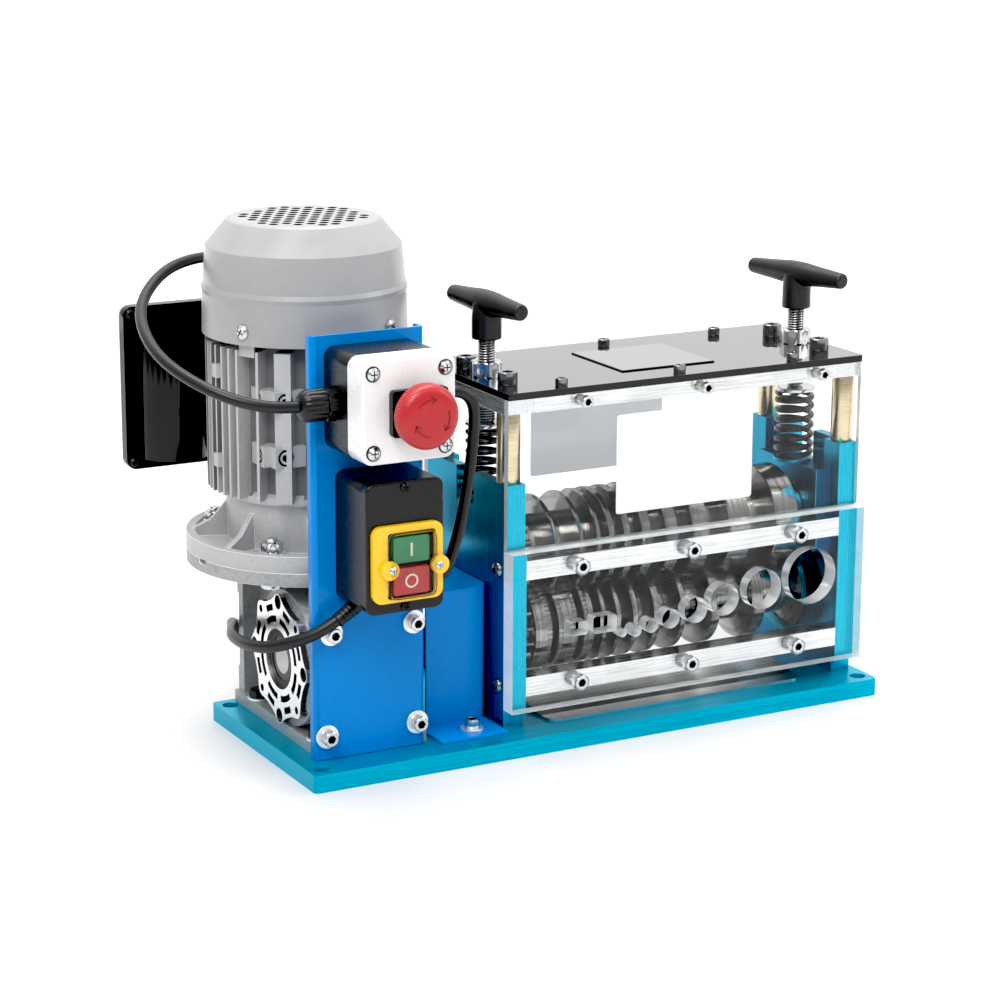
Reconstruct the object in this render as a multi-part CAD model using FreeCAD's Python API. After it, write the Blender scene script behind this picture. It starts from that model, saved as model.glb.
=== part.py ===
import FreeCAD, Part
import math
import os

# Electric wire stripping machine for a bench. Millimetres, +Z up, origin at the centre of the
# base plate's bottom face. +X runs from the motor to the roller head, -Y is the feeding side.

V = FreeCAD.Vector
X = V(1, 0, 0)
Y = V(0, 1, 0)
Z = V(0, 0, 1)

# Clearances
BOLT_CLEAR = 0.25       # round a bolt in its hole
RUN_CLEAR = 0.05        # round a shaft that turns in a hole
SLIDE_CLEAR = 0.15      # beside a piece that slides
PLAY = 0.3              # between moving pieces that only pass each other

# Base plate
BASE_LENGTH = 430.0
BASE_WIDTH = 166.0
BASE_THICK = 12.0
BASE_CORNER = 3.0
FOOT_HOLE_R = 5.5
FOOT_INSET_X = 9.0
FOOT_INSET_Y = 11.0

# Roller head: two end plates with a sliding block in the top of each
HEAD_MIDDLE = 72.5      # middle of the roller head along X
HEAD_LENGTH = 276.0     # over the outer faces of the end plates
PLATE_THICK = 15.0
PLATE_WIDTH = 109.0
PLATE_TOP = 176.0
RECESS_WIDTH = 73.0     # wide part of the block's guide, in the inner half of the plate
RECESS_DEPTH = 7.5
SLOT_WIDTH = 24.0       # narrow part of the guide, through the outer half
BLOCK_TOP = 154.0
BLOCK_BELOW_AXIS = 23.0
BLOCK_PROUD = 6.0       # how far the block stands out of the plate's inner face
ROD_R = 7.5
ROD_LENGTH = 46.5
CAP_HEIGHT = 10.2
CAP_LENGTH = 32.0
TOP_THICK = 4.5
TOP_FRONT_OVERHANG = 4.0
TOP_REAR_OVERHANG = 11.5

# Shafts and gears of the rollers
ROLLER_AXIS_Z = 64.0
GEAR_MODULE = 3.0
GEAR_TEETH = 18
GEAR_WIDTH = 12.0
GEAR_BACKLASH = 0.3
SHAFT_R = 10.0
ROLLER_LIFT = 4.0
BEARING_R = 21.0
BEARING_WIDTH = 12.0

# Feed rollers and cutter discs
FEED_R = 31.5
CUTTER_R = 34.6
NIP_CLEAR = 0.9         # between a cutter's rim and the bottom of its groove
RIM_CLEAR = 1.5         # between the spacers and the feed rollers' rims
GROOVE_SIDE_CLEAR = 0.8
KNURL_R = 30.0
KNURL_WIDTH = 3.6
SLOT_CUTTER_THICK = 3.2
SLOT_CUTTER_SHIFT = 0.5

# Round guide holes of the panel: place along X, height and radius, then the groove's half width
CHANNELS = [
    (18.0, 68.6, 3.0, 3.4),
    (28.3, 68.3, 4.0, 4.2),
    (40.4, 70.4, 5.0, 5.0),
    (55.3, 73.2, 6.8, 6.4),
    (75.0, 76.4, 9.0, 8.4),
    (97.7, 80.7, 11.2, 10.8),
    (129.2, 83.7, 14.0, 14.4),
    (168.4, 87.8, 19.5, 16.0),
]
# Rectangular guide slots: left and right edge, bottom and top
SLOTS = [
    (-22.2, -9.0, 71.6, 81.0),
    (-4.8, 13.2, 70.8, 82.5),
]
ROLLER_END_CLEAR = 1.0  # between the rollers' ends and the bearing blocks
END_DISC_R = 22.4
END_DISC_THICK = 4.0

# Clear front panel and upper shields
PANEL_THICK = 12.5
PANEL_BOTTOM = 24.0
PANEL_TOP = 132.0
SHIELD_THICK = 5.0
SHIELD_GAP = 1.0        # between the panel's top and the shield
BAR_DEPTH = 15.0
BAR_HEIGHT = 13.0
PANEL_BAR_Z = (32.0, 111.5)
UPPER_BAR_DEPTH = 9.5
UPPER_BAR_HEIGHT = 10.0
PANEL_SCREW_X = (-13.0, 73.0, 159.0)
SHIELD_SCREW_X = (-9.0, 83.0, 176.0)
COVER_SCREW_X = (-21.0, 69.0, 159.0)
PANEL_COUNTERBORE = 5.5

# Pressure screws, springs and handles
SCREW_INSET = 16.0      # from the head's end to the screw's axis
SCREW_R = 5.95
SCREW_PITCH = 1.75
SPIGOT_R = 4.0
NUT_FLATS = 19.0
NUT_HEIGHT = 10.0
WASHER_R = 14.0
WASHER_THICK = 2.5
WASHER_TOP = 206.5
SEAT_R = 14.0
SEAT_THICK = 2.0
WIRE_R = 2.0
SPRING_MEAN_R = 12.0
SPRING_TURNS = 7       # the first and the last are closed
CLOSED_PITCH = 4.8
HUB_R = 10.0
HUB_BOTTOM = 262.0
BAR_AXIS_Z = 286.0
HANDLE_HALF = 44.0
HANDLE_END_R = 5.5
HANDLE_MIDDLE_R = 8.4
HANDLE_TURN = {"left": 3.0, "right": 11.5}

# Gearbox
WORM_X = -161.0
WORM_Y = 42.0
BOX_HALF = 35.0         # half the housing's width along X
DRUM_R = 45.0
WHEEL_BORE_R = 38.0
TOWER_HALF = 22.0
BOX_FRONT = -56.0
BOX_REAR = 80.0
BOX_TOP = 119.0
BOX_FOOT_HALF = 38.0
BOX_FOOT_THICK = 8.0
COVER_THICK = 6.0
STAR_HOLE_R = 38.4
STAR_WAIST_R = 38.6
STAR_TIP_R = 43.8
STAR_LOBE_SPREAD = 10.0      # degrees
STAR_POCKET_DEPTH = 3.5
STAR_POCKETS = [(24.4, 28.6, 17.0), (31.8, 36.2, 9.0)]    # inner and outer radius, half angle
SPIGOT_DEPTH = 10.0
OUTPUT_HUB_R = 14.5
SEAL_R = 20.0
HUB_BEARING_R = 22.0
HUB_BEARING_WIDTH = 8.0
WORM_MODULE = 2.2
WHEEL_TEETH = 30
WHEEL_FACE = 16.0
WORM_CORE_R = 6.6
WORM_TIP_R = 11.0
WORM_SLEEVE_R = 9.5
WORM_BEARING_R = 17.5
WORM_TURNS = 6
FLANGE_R = 80.0
FLANGE_THICK = 9.0
FLANGE_BOLT_R = 65.0
GEARBOX_BOLT_X = 31.0   # from the worm's axis
GEARBOX_BOLT_Y = (-40.0, 54.0)

# Motor
MOTOR_FLANGE_THICK = 11.0
MOTOR_WEB = 6.0
BOLT_SEAT_HEIGHT = 8.5
BOLT_SEAT_R = 9.8
FLANGE_RIM = 6.0
COLLAR_R = 52.0
COLLAR_TOP = 166.0
RIB_COUNT = 8
SHELL_R = 54.0
SHELL_WALL = 5.0
SHELL_TOP = 271.0
FIN_R = 65.0
FIN_BOTTOM = 170.5
FINS = [(-23.1, 1.8), (-16.5, 1.8), (-9.9, 1.8), (-3.3, 1.8), (3.3, 1.8), (9.9, 1.8), (16.5, 1.8), (23.1, 1.8),
        (37.2, 1.8), (52.5, 10.6)]    # angle from a quarter's start and thickness
LUG_OUTLINE = [(50.0, -25.8), (50.0, -43.8), (45.2, -43.8), (45.2, -51.8), (24.0, -51.8), (24.0, -40.0),
               (38.0, -22.0)]
LUG_HOLE_X = 37.8
LUG_HOLE_Y = -37.6
LUG_HEIGHT = 13.5
LUG_BOTTOMS = (193.0, 229.3)
BOSS_BOTTOMS = (188.0, 246.6)
MOTOR_SHAFT_R = 7.0
MOTOR_JOURNAL_R = 7.5
MOTOR_BEARING_WIDTH = 11.0
ROTOR_R = 29.5
STATOR_INNER_R = 30.0
CORE_BOTTOM = 184.0
CORE_TOP = 244.0
FAN_BOTTOM = 286.0
FAN_HEIGHT = 16.0
FAN_R = 54.0
FAN_BLADES = 8
COVER_BOTTOM = 271.0
COVER_BOTTOM_R = 66.8
COVER_SHOULDER = 327.7
COVER_SHOULDER_R = 63.9
COVER_TOP = 345.0
COVER_TOP_R = 50.2
COVER_WALL = 2.0
VENT_R = 3.1
VENT_PITCH = 9.0
VENT_FIELD_R = 41.0
COVER_SCREW_Z = 279.7
COVER_SCREW_ANGLE = -150.6

# Terminal and capacitor box behind the motor
TBOX_HALF = 94.0
TBOX_BOTTOM = 169.0
TBOX_TOP = 279.5
TBOX_FLANGE_Y = 124.0
TBOX_FLANGE_THICK = 4.0
TBOX_LID_DEPTH = 22.0
TBOX_LID_INSET = 14.0
TBOX_RIM_THICK = 4.0
TBOX_WALL = 2.0
TBOX_CORNER = 7.0
TBOX_SCREW_INSET = 4.8
TBOX_LID_HEIGHT = 92.0
TBOX_BODY_INSET = 11.0
TBOX_BODY_RAISE = 8.0
TBOX_GLAND_X = -170.0
TBOX_GLAND_LENGTH = 14.0
SHOULDER_DEPTH = 11.0
BARREL_R = 24.0
BARREL_OFFSET = 61.0
BARREL_TOP = 251.0
CAPACITOR_R = 18.0
CAPACITOR_LENGTH = 68.0
PAD_FACE_Y = 109.0
PAD_HALF = 30.0

# Control bracket
BRACKET_LEFT = -203.0
BRACKET_RIGHT = -125.0
BRACKET_TOP = 287.0
BRACKET_THICK = 2.5
BRACKET_LEFT_RETURN = 8.0
BRACKET_RIGHT_RETURN = 11.0
BRACKET_BEND_R = 1.0    # inside the folds
BRACKET_BOLTS = [(-191.5, 95.5), (-133.3, 95.5), (-195.0, 27.6), (-131.2, 27.6)]
WASHER_M6_R = 7.7
WASHER_M6_THICK = 1.4

# Emergency stop
STOP_LEFT = -194.4
STOP_RIGHT = -131.2
STOP_BOTTOM = 215.6
STOP_TOP = 280.4
STOP_BASE_DEPTH = 33.8
STOP_LID_DEPTH = 20.7
STOP_WALL = 2.5
STOP_CORNER = 7.0
STOP_AXIS_X = -159.5
STOP_AXIS_Z = 247.0
STOP_PLATE = (-176.5, -138.8, 232.5, 261.5)
STOP_PLATE_THICK = 5.0
STOP_HEAD_SEAT = 3.0
STOP_NECK_R = 14.5
STOP_STEM_R = 11.0
STOP_TRAVEL = 4.0
MUSHROOM_R = 20.3
MUSHROOM_HEIGHT = 14.5
STOP_SCREWS = [(-187.3, 223.4), (-138.3, 223.4), (-187.3, 272.3), (-138.3, 272.3)]

# Switch box
SWITCH_LEFT = -187.7
SWITCH_RIGHT = -134.2
SWITCH_BOTTOM = 117.5
SWITCH_TOP = 201.3
SWITCH_BASE_DEPTH = 35.5
SWITCH_COVER_DEPTH = 9.0
SWITCH_WALL = 2.5
SWITCH_CORNER = 6.0
SWITCH_SCREWS = [(-161.1, 121.2), (-161.1, 197.4)]
FRAME_EDGES = (-185.0, -137.0, 125.5, 174.5)
WINDOW_EDGES = (-175.0, -142.0, 127.5, 170.0)
FRAME_THICK = 4.0
BUTTON_LEFT = -170.8
BUTTON_RIGHT = -146.2
BUTTON_Z = {"green": (150.0, 166.6), "red": (129.6, 146.8)}
BUTTON_SUNK = 0.5       # behind the yellow frame's face
BUTTON_LENGTH = 12.0
BUTTON_TRAVEL = 3.0
CONTACTOR_DEPTH = 8.0   # from the switch box's seam back to the contactor
EAR_R = 6.0
EAR_THICK = 3.0
EARS = [(-174.5, -173.0), (-140.0, -140.8)]   # middle of the ear, then its screw
EAR_Z = 147.0
SWITCH_CABLE_Y = -76.0
SWITCH_CABLE_Z = 127.5

# Coupling guard
GUARD_FRONT = -36.0
GUARD_LEFT = -113.0
GUARD_RIGHT = -66.0
GUARD_TOP = 105.0
GUARD_REAR = 52.0
GUARD_THICK = 2.0
GUARD_BEND_R = 10.0
GUARD_FOOT_FRONT = -67.0
GUARD_BOLT = (-88.0, -53.0)

# Chute under the rollers
CHUTE_LEFT = -33.0
CHUTE_RIGHT = 168.0
CHUTE_FRONT = -60.0
CHUTE_FRONT_Z = 12.8
CHUTE_REAR = 47.0
CHUTE_REAR_Z = 27.0
CHUTE_THICK = 1.2
CHUTE_LIP = 12.0

# Cables
CABLE_R = 3.7
LEAD_R = 3.9
GROMMET_WALL = 1.6
COIL_CENTRE = V(-104.0, 152.0, 0)
COIL_OUTER_R = 50.0
COIL_STEP = 8.8         # from one turn to the next, in and up
COIL_TURNS = 5
PLUG_R = 12.4
PLUG_LENGTH = 30.0
RELIEF_LENGTH = 34.0
LEAD_SLEEVE_LENGTH = 21.0   # tapered sleeve where the lead leaves the switch box
LEAD_SLEEVE_TIP_R = 4.6
MOTOR_CABLE_POINTS = [
    V(-219.5, -75, 248), V(-238, -75, 249.5), V(-254, -69, 253), V(-268.5, -57, 259),
    V(-279, -38, 266), V(-284, -14, 273), V(-283, 11, 281), V(-278, 34, 289),
    V(-268, 55, 297), V(-252, 74, 305), V(-235, 89, 310), V(-218, 101, 311.5),
    V(-203, 111, 311), V(-192.5, 119.7, 309), V(-182.5, 128.2, 303.6), V(-174.6, 134.9, 295.6),
    V(-170, 139, 286.1), V(-170, 139, 276),
]
SWITCH_CABLE_POINTS = [
    V(-116.2, -75, 247), V(-110, -75, 247), V(-104.3, -75, 244.6), V(-100, -75, 240),
    V(-98.1, -75, 232.5), V(-98.4, -75, 220), V(-100.4, -75, 202), V(-103.8, -75, 181),
    V(-108.4, -75.3, 160), V(-113.5, -75.7, 144.5), V(-117.9, -76, 133.8), V(-122.4, -76, 129.7),
    V(-128, -76, 127.5), V(-134.5, -76, 127.5),
]
LEAD_POINTS = [
    V(-174, -67.9, 118.4), V(-199.5, -69.2, 101.3), V(-216, -62.8, 96.3),
    V(-229.5, -49, 92), V(-236.5, -31, 88), V(-238, -10, 83.5), V(-234, 12, 78),
    V(-225.5, 34, 72), V(-216, 54, 64), V(-207, 73, 53), V(-197.5, 89, 39),
    V(-184, 100.5, 24.5), V(-166, 104, 12.5), V(-146, 103, 5.5),
]

# Places that follow from the sizes above
BASE_TOP = BASE_THICK
LEFT_OUT = HEAD_MIDDLE - HEAD_LENGTH / 2
RIGHT_OUT = HEAD_MIDDLE + HEAD_LENGTH / 2
LEFT_IN = LEFT_OUT + PLATE_THICK
RIGHT_IN = RIGHT_OUT - PLATE_THICK
PLATE_HALF = PLATE_WIDTH / 2
CUTTER_AXIS_Z = ROLLER_AXIS_Z + GEAR_MODULE * GEAR_TEETH
ROD_TOP = PLATE_TOP + ROD_LENGTH
CAP_TOP = ROD_TOP + CAP_HEIGHT
TOP_Z = CAP_TOP + TOP_THICK
ROD_Y = PLATE_HALF - (PLATE_WIDTH - RECESS_WIDTH) / 4
PANEL_FRONT = -PLATE_HALF - PANEL_THICK
SHIELD_TOP = CAP_TOP
UPPER_BAR_TOP = CAP_TOP - 0.2
BRACKET_FRONT = BOX_FRONT - BRACKET_THICK
SCREW_X = {"left": LEFT_OUT + SCREW_INSET, "right": RIGHT_OUT - SCREW_INSET}
MOTOR_BASE_Z = BOX_TOP + FLANGE_THICK
WORM_AXIS = V(WORM_X, WORM_Y, 0)
ROLLER_START = LEFT_IN + BLOCK_PROUD + 1.5
ROLLER_END = RIGHT_IN - BLOCK_PROUD - ROLLER_END_CLEAR
STOP_SEAM_Y = BRACKET_FRONT - STOP_BASE_DEPTH
STOP_FACE_Y = STOP_SEAM_Y - STOP_LID_DEPTH
SWITCH_SEAM_Y = BRACKET_FRONT - SWITCH_BASE_DEPTH
SWITCH_FACE_Y = SWITCH_SEAM_Y - SWITCH_COVER_DEPTH
TBOX_BACK_Y = TBOX_FLANGE_Y + TBOX_FLANGE_THICK
TBOX_LID_TOP = TBOX_BOTTOM + 1 + TBOX_LID_HEIGHT


# Plain shapes
def block(x0, x1, y0, y1, z0, z1):
    return Part.makeBox(x1 - x0, y1 - y0, z1 - z0, V(x0, y0, z0))


def disc(radius, start, axis, length):
    return Part.makeCylinder(radius, length, start, axis)


def ring(outer, inner, start, axis, length):
    return disc(outer, start, axis, length).cut(disc(inner, start, axis, length))


def placed(shape, at, axis):
    shape.Placement = FreeCAD.Placement(at, FreeCAD.Rotation(Z, axis))
    return shape


def turned(profile, at, axis):
    """A solid turned about axis through at; the profile is a list of (radius, height)."""
    points = [V(r, 0, h) for r, h in profile]
    face = Part.Face(Part.makePolygon(points + points[:1]))
    return placed(face.revolve(V(), Z, 360), at, axis)


def prism(radius, sides, start, axis, length, turn=0.0):
    """A straight bar with a regular outline; radius is half the distance between its flats."""
    corner = radius / math.cos(math.pi / sides)
    step = 2 * math.pi / sides
    points = []
    for k in range(sides):
        angle = turn + k * step
        points.append(V(corner * math.cos(angle), corner * math.sin(angle), 0))
    face = Part.Face(Part.makePolygon(points + points[:1]))
    return placed(face.extrude(Z * length), start, axis)


def plate_from(points, direction):
    return Part.Face(Part.makePolygon(points + points[:1])).extrude(direction)


def joined(shapes):
    first = shapes[0]
    return first.fuse(shapes[1:]).removeSplitter() if len(shapes) > 1 else first


def cut_all(shape, tools):
    return shape.cut(tools) if tools else shape


def rounded(shape, radius, axis):
    """Rounds every straight edge of the shape that runs along axis."""
    edges = []
    for edge in shape.Edges:
        if isinstance(edge.Curve, Part.Line) and abs(edge.Curve.Direction.dot(axis)) > 0.999:
            edges.append(edge)
    return shape.makeFillet(radius, edges)


def softened(shape, radius, keep):
    """Rounds the edges that keep() picks by their middle point."""
    edges = [e for e in shape.Edges if keep(e.valueAt((e.FirstParameter + e.LastParameter) / 2))]
    return shape.makeFillet(radius, edges)


def spun(shape, count, at, axis, first=0.0):
    copies = []
    for k in range(count):
        copy = shape.copy()
        copy.rotate(at, axis, first + 360.0 * k / count)
        copies.append(copy)
    return copies


def save(node, shapes):
    solids = []
    for shape in shapes:
        solids.extend(shape.Solids)
    whole = solids[0] if len(solids) == 1 else Part.makeCompound(solids)
    whole.exportStep(os.path.join("parts", node + ".step"))
    good = all(s.isValid() for s in solids)
    print(f"{node:18s} {len(solids):3d} solids  {whole.Volume / 1000:8.2f} cm3  valid {good}")


# Fasteners. A fastener is (seat, out, radius, length): the point where its head sits, the way
# its head points, its shank's radius and the shank's length under the head.
def socket_screw(seat, out, radius, length):
    head_r = radius * 1.65
    head_h = radius * 2
    head = disc(head_r, seat, out, head_h)
    socket = prism(radius * 0.83, 6, seat + out * (head_h * 0.45), out, head_h)
    shank = disc(radius, seat - out * length, out, length)
    return joined([head.cut(socket), shank])


def button_screw(seat, out, radius, length):
    head_r = radius * 1.75
    head_h = radius * 1.1
    profile = [(0, 0), (head_r, 0), (head_r, head_h * 0.25), (head_r * 0.6, head_h), (0, head_h)]
    head = turned(profile, seat, out)
    socket = prism(radius * 0.66, 6, seat + out * (head_h * 0.4), out, head_h)
    shank = disc(radius, seat - out * length, out, length)
    return joined([head.cut(socket), shank])


def hex_screw(seat, out, radius, length):
    head = prism(radius * 1.63, 6, seat, out, radius * 1.3)
    shank = disc(radius, seat - out * length, out, length)
    return joined([head, shank])


def cross_screw(seat, out, radius, length):
    head_r = radius * 2.0
    head_h = radius * 1.2
    profile = [(0, 0), (head_r, 0), (head_r, head_h * 0.4), (head_r * 0.55, head_h), (0, head_h)]
    head = turned(profile, seat, out)
    blade = head_r * 0.6
    half = radius * 0.18
    slot_a = Part.makeBox(2 * blade, 2 * half, head_h, V(-blade, -half, 0))
    slot_b = Part.makeBox(2 * half, 2 * blade, head_h, V(-half, -blade, 0))
    cross = placed(slot_a.fuse(slot_b), seat + out * (head_h * 0.5), out)
    shank = disc(radius, seat - out * length, out, length)
    return joined([head.cut(cross), shank])


def washer(seat, out, hole_r, outer_r, thick):
    return ring(outer_r, hole_r, seat, out, thick)


def screw_hole(fastener, extra=0.0):
    seat, out, radius, length = fastener
    reach = length + extra
    return disc(radius + BOLT_CLEAR, seat - out * reach, out, reach + 2)


def screw_holes(fasteners):
    return [screw_hole(f) for f in fasteners]


# Where each group of fasteners sits
def cap_bolts():
    places = []
    for side in ("left", "right"):
        for y in (-29.0, 29.0):
            places.append((V(SCREW_X[side], y, TOP_Z), Z, 4.0, TOP_THICK + CAP_HEIGHT - 1))
    return places


def cover_bolts():
    y = PLATE_HALF - UPPER_BAR_DEPTH / 2
    length = TOP_THICK + UPPER_BAR_HEIGHT - 2
    return [(V(x, s * y, TOP_Z), Z, 2.5, length) for x in COVER_SCREW_X for s in (-1, 1)]


def shield_bolts():
    z = UPPER_BAR_TOP - UPPER_BAR_HEIGHT / 2
    length = SHIELD_THICK + UPPER_BAR_DEPTH - 1.5
    places = []
    for x in SHIELD_SCREW_X:
        places.append((V(x, -PLATE_HALF - SHIELD_THICK, z), -Y, 2.5, length))
        places.append((V(x, PLATE_HALF + SHIELD_THICK, z), Y, 2.5, length))
    return places


def panel_bolts():
    places = []
    for x in PANEL_SCREW_X:
        for z in PANEL_BAR_Z:
            seat = V(x, PANEL_FRONT + PANEL_COUNTERBORE, z + BAR_HEIGHT / 2)
            places.append((seat, -Y, 3.0, PANEL_THICK - PANEL_COUNTERBORE + BAR_DEPTH - 4))
    return places


def bar_end_bolts():
    y = -PLATE_HALF + BAR_DEPTH / 2
    places = []
    for z in PANEL_BAR_Z:
        for out, x in ((-X, LEFT_OUT), (X, RIGHT_OUT)):
            places.append((V(x, y, z + BAR_HEIGHT / 2), out, 3.0, PLATE_THICK + 12))
    return places


def base_bolts():
    places = []
    for x in (LEFT_OUT + PLATE_THICK / 2, RIGHT_OUT - PLATE_THICK / 2):
        for y in (-PLATE_HALF * 0.65, PLATE_HALF * 0.65):
            places.append((V(x, y, 6.5), -Z, 3.0, 22.0))
    return places


def gearbox_bolts():
    seat_z = BASE_TOP + BOX_FOOT_THICK + WASHER_M6_THICK
    length = BOX_FOOT_THICK + WASHER_M6_THICK + BASE_THICK - 3
    places = []
    for side in (-1, 1):
        for y in GEARBOX_BOLT_Y:
            places.append((V(WORM_X + side * GEARBOX_BOLT_X, y, seat_z), Z, 4.0, length))
    return places


def flange_bolts():
    seat_z = MOTOR_BASE_Z + BOLT_SEAT_HEIGHT + WASHER_M6_THICK
    places = []
    for k in range(4):
        angle = math.radians(45 + 90 * k)
        offset = V(math.cos(angle), math.sin(angle), 0) * FLANGE_BOLT_R
        length = BOLT_SEAT_HEIGHT + WASHER_M6_THICK + FLANGE_THICK + 8
        places.append((WORM_AXIS + offset + Z * seat_z, Z, 4.0, length))
    return places


def bracket_bolts():
    seat_y = BRACKET_FRONT - WASHER_M6_THICK
    return [(V(x, seat_y, z), -Y, 3.0, BRACKET_THICK + WASHER_M6_THICK + 6) for x, z in BRACKET_BOLTS]


def guard_bolt():
    x, y = GUARD_BOLT
    seat_z = BASE_TOP + GUARD_THICK + WASHER_M6_THICK
    return (V(x, y, seat_z), Z, 3.0, GUARD_THICK + WASHER_M6_THICK + 8)


def fan_cover_screws():
    places = []
    for k in range(4):
        angle = math.radians(COVER_SCREW_ANGLE + 90 * k)
        out = V(math.cos(angle), math.sin(angle), 0)
        places.append((WORM_AXIS + out * COVER_BOTTOM_R + Z * COVER_SCREW_Z, out, 2.3, 6.0))
    return places


def stop_screws():
    return [(V(x, STOP_FACE_Y, z), -Y, 2.0, STOP_LID_DEPTH + 12) for x, z in STOP_SCREWS]


def switch_screws():
    return [(V(x, SWITCH_FACE_Y, z), -Y, 1.6, SWITCH_COVER_DEPTH + 12) for x, z in SWITCH_SCREWS]


def ear_screws():
    y = SWITCH_FACE_Y - FRAME_THICK - EAR_THICK
    return [(V(x, y, EAR_Z), -Y, 1.3, EAR_THICK + FRAME_THICK + 6) for _, x in EARS]


def tbox_screws():
    places = []
    for side in (-1, 1):
        for z in (TBOX_BOTTOM + TBOX_SCREW_INSET, TBOX_TOP - TBOX_SCREW_INSET):
            x = WORM_X + side * (TBOX_HALF - TBOX_SCREW_INSET)
            places.append((V(x, TBOX_FLANGE_Y, z), -Y, 1.6, TBOX_FLANGE_THICK + TBOX_RIM_THICK - 0.2))
    return places


# Base and roller head
def base_plate():
    half_l = BASE_LENGTH / 2
    half_w = BASE_WIDTH / 2
    plate = rounded(block(-half_l, half_l, -half_w, half_w, 0, BASE_TOP), BASE_CORNER, Z)
    tools = []
    for sx in (-1, 1):
        for sy in (-1, 1):
            corner = V(sx * (half_l - FOOT_INSET_X), sy * (half_w - FOOT_INSET_Y), -1)
            tools.append(disc(FOOT_HOLE_R, corner, Z, BASE_TOP + 2))
    for seat, out, radius, length in base_bolts():
        tools.append(disc(radius * 1.65 + BOLT_CLEAR, seat, out, 20))
    tools += screw_holes(base_bolts() + gearbox_bolts() + [guard_bolt()])
    return cut_all(plate, tools)


def end_plate(side):
    """The outer half has a narrow slot and the inner half a wide recess, both open at the top."""
    out_x = LEFT_OUT if side == "left" else RIGHT_OUT - PLATE_THICK
    plate = block(out_x, out_x + PLATE_THICK, -PLATE_HALF, PLATE_HALF, BASE_TOP, PLATE_TOP)
    floor_z = CUTTER_AXIS_Z - BLOCK_BELOW_AXIS - PLAY
    slot_half = SLOT_WIDTH / 2
    recess_half = RECESS_WIDTH / 2
    slot = block(out_x - 1, out_x + PLATE_THICK + 1, -slot_half, slot_half, floor_z, PLATE_TOP + 1)
    inner_x = out_x + PLATE_THICK - RECESS_DEPTH if side == "left" else out_x
    recess = block(inner_x, inner_x + RECESS_DEPTH, -recess_half, recess_half, floor_z, PLATE_TOP + 1)
    shaft_hole = disc(BEARING_R, V(out_x, 0, ROLLER_AXIS_Z), X, PLATE_THICK)
    tools = [slot, recess, shaft_hole] + screw_holes(bar_end_bolts() + base_bolts())
    return cut_all(plate, tools)


def guide_rods():
    rods = []
    for x in (LEFT_OUT + PLATE_THICK / 2, RIGHT_OUT - PLATE_THICK / 2):
        for y in (-ROD_Y, ROD_Y):
            rods.append(disc(ROD_R, V(x, y, PLATE_TOP), Z, ROD_LENGTH))
    return rods


def cap_block(side):
    """The inner end is notched at both corners for the tie bars."""
    start = LEFT_OUT if side == "left" else RIGHT_OUT - CAP_LENGTH
    cap = block(start, start + CAP_LENGTH, -PLATE_HALF, PLATE_HALF, ROD_TOP, CAP_TOP)
    notch_x = start + CAP_LENGTH - 11 if side == "left" else start - 1
    tools = []
    for sign in (-1, 1):
        y0 = PLATE_HALF - UPPER_BAR_DEPTH
        lo, hi = sorted((sign * y0, sign * (PLATE_HALF + 1)))
        tools.append(block(notch_x, notch_x + 12, lo, hi, ROD_TOP - 1, CAP_TOP + 1))
    tools.append(disc(SCREW_R + 0.55, V(SCREW_X[side], 0, ROD_TOP), Z, CAP_HEIGHT))
    tools += screw_holes(cap_bolts())
    return cut_all(cap, tools)


def top_cover():
    cover = block(LEFT_OUT + 0.5, RIGHT_OUT + 0.5, -PLATE_HALF - TOP_FRONT_OVERHANG,
                  PLATE_HALF + TOP_REAR_OVERHANG, CAP_TOP, TOP_Z)
    tools = [disc(SCREW_R + 0.55, V(x, 0, CAP_TOP), Z, TOP_THICK) for x in SCREW_X.values()]
    return cut_all(rounded(cover, 1.5, Z), tools + screw_holes(cap_bolts() + cover_bolts()))


def tie_bars():
    """Two bars carry the guide panel, and two under the top cover carry the shields."""
    bars = []
    for z in PANEL_BAR_Z:
        bar = block(LEFT_IN, RIGHT_IN, -PLATE_HALF, -PLATE_HALF + BAR_DEPTH, z, z + BAR_HEIGHT)
        bars.append(cut_all(bar, screw_holes(panel_bolts() + bar_end_bolts())))
    x0 = LEFT_OUT + CAP_LENGTH - 11
    x1 = RIGHT_OUT - CAP_LENGTH + 11
    for sign in (-1, 1):
        lo, hi = sorted((sign * (PLATE_HALF - UPPER_BAR_DEPTH), sign * PLATE_HALF))
        bar = block(x0, x1, lo, hi, UPPER_BAR_TOP - UPPER_BAR_HEIGHT, CAP_TOP)
        bars.append(cut_all(bar, screw_holes(cover_bolts() + shield_bolts())))
    return bars


def upper_shields():
    bottom = PANEL_TOP + SHIELD_GAP
    front = block(LEFT_OUT, RIGHT_OUT - 1.5, -PLATE_HALF - SHIELD_THICK, -PLATE_HALF, bottom, SHIELD_TOP)
    rear = block(LEFT_OUT, RIGHT_OUT - 1.5, PLATE_HALF, PLATE_HALF + SHIELD_THICK, bottom, SHIELD_TOP)
    return [cut_all(s, screw_holes(shield_bolts())) for s in (front, rear)]


def guide_panel():
    panel = block(LEFT_OUT, RIGHT_OUT, PANEL_FRONT, -PLATE_HALF, PANEL_BOTTOM, PANEL_TOP)
    tools = []
    for x, z, radius, _ in CHANNELS:
        tools.append(disc(radius, V(x, PANEL_FRONT, z), Y, PANEL_THICK))
    for x0, x1, z0, z1 in SLOTS:
        slot = block(x0, x1, PANEL_FRONT, -PLATE_HALF, z0, z1)
        tools.append(rounded(slot, 2.0, Y))
    for seat, out, radius, length in panel_bolts():
        tools.append(disc(radius * 1.65 + 0.6, seat, out, PANEL_COUNTERBORE + 1))
    return cut_all(panel, tools + screw_holes(panel_bolts()))


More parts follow.
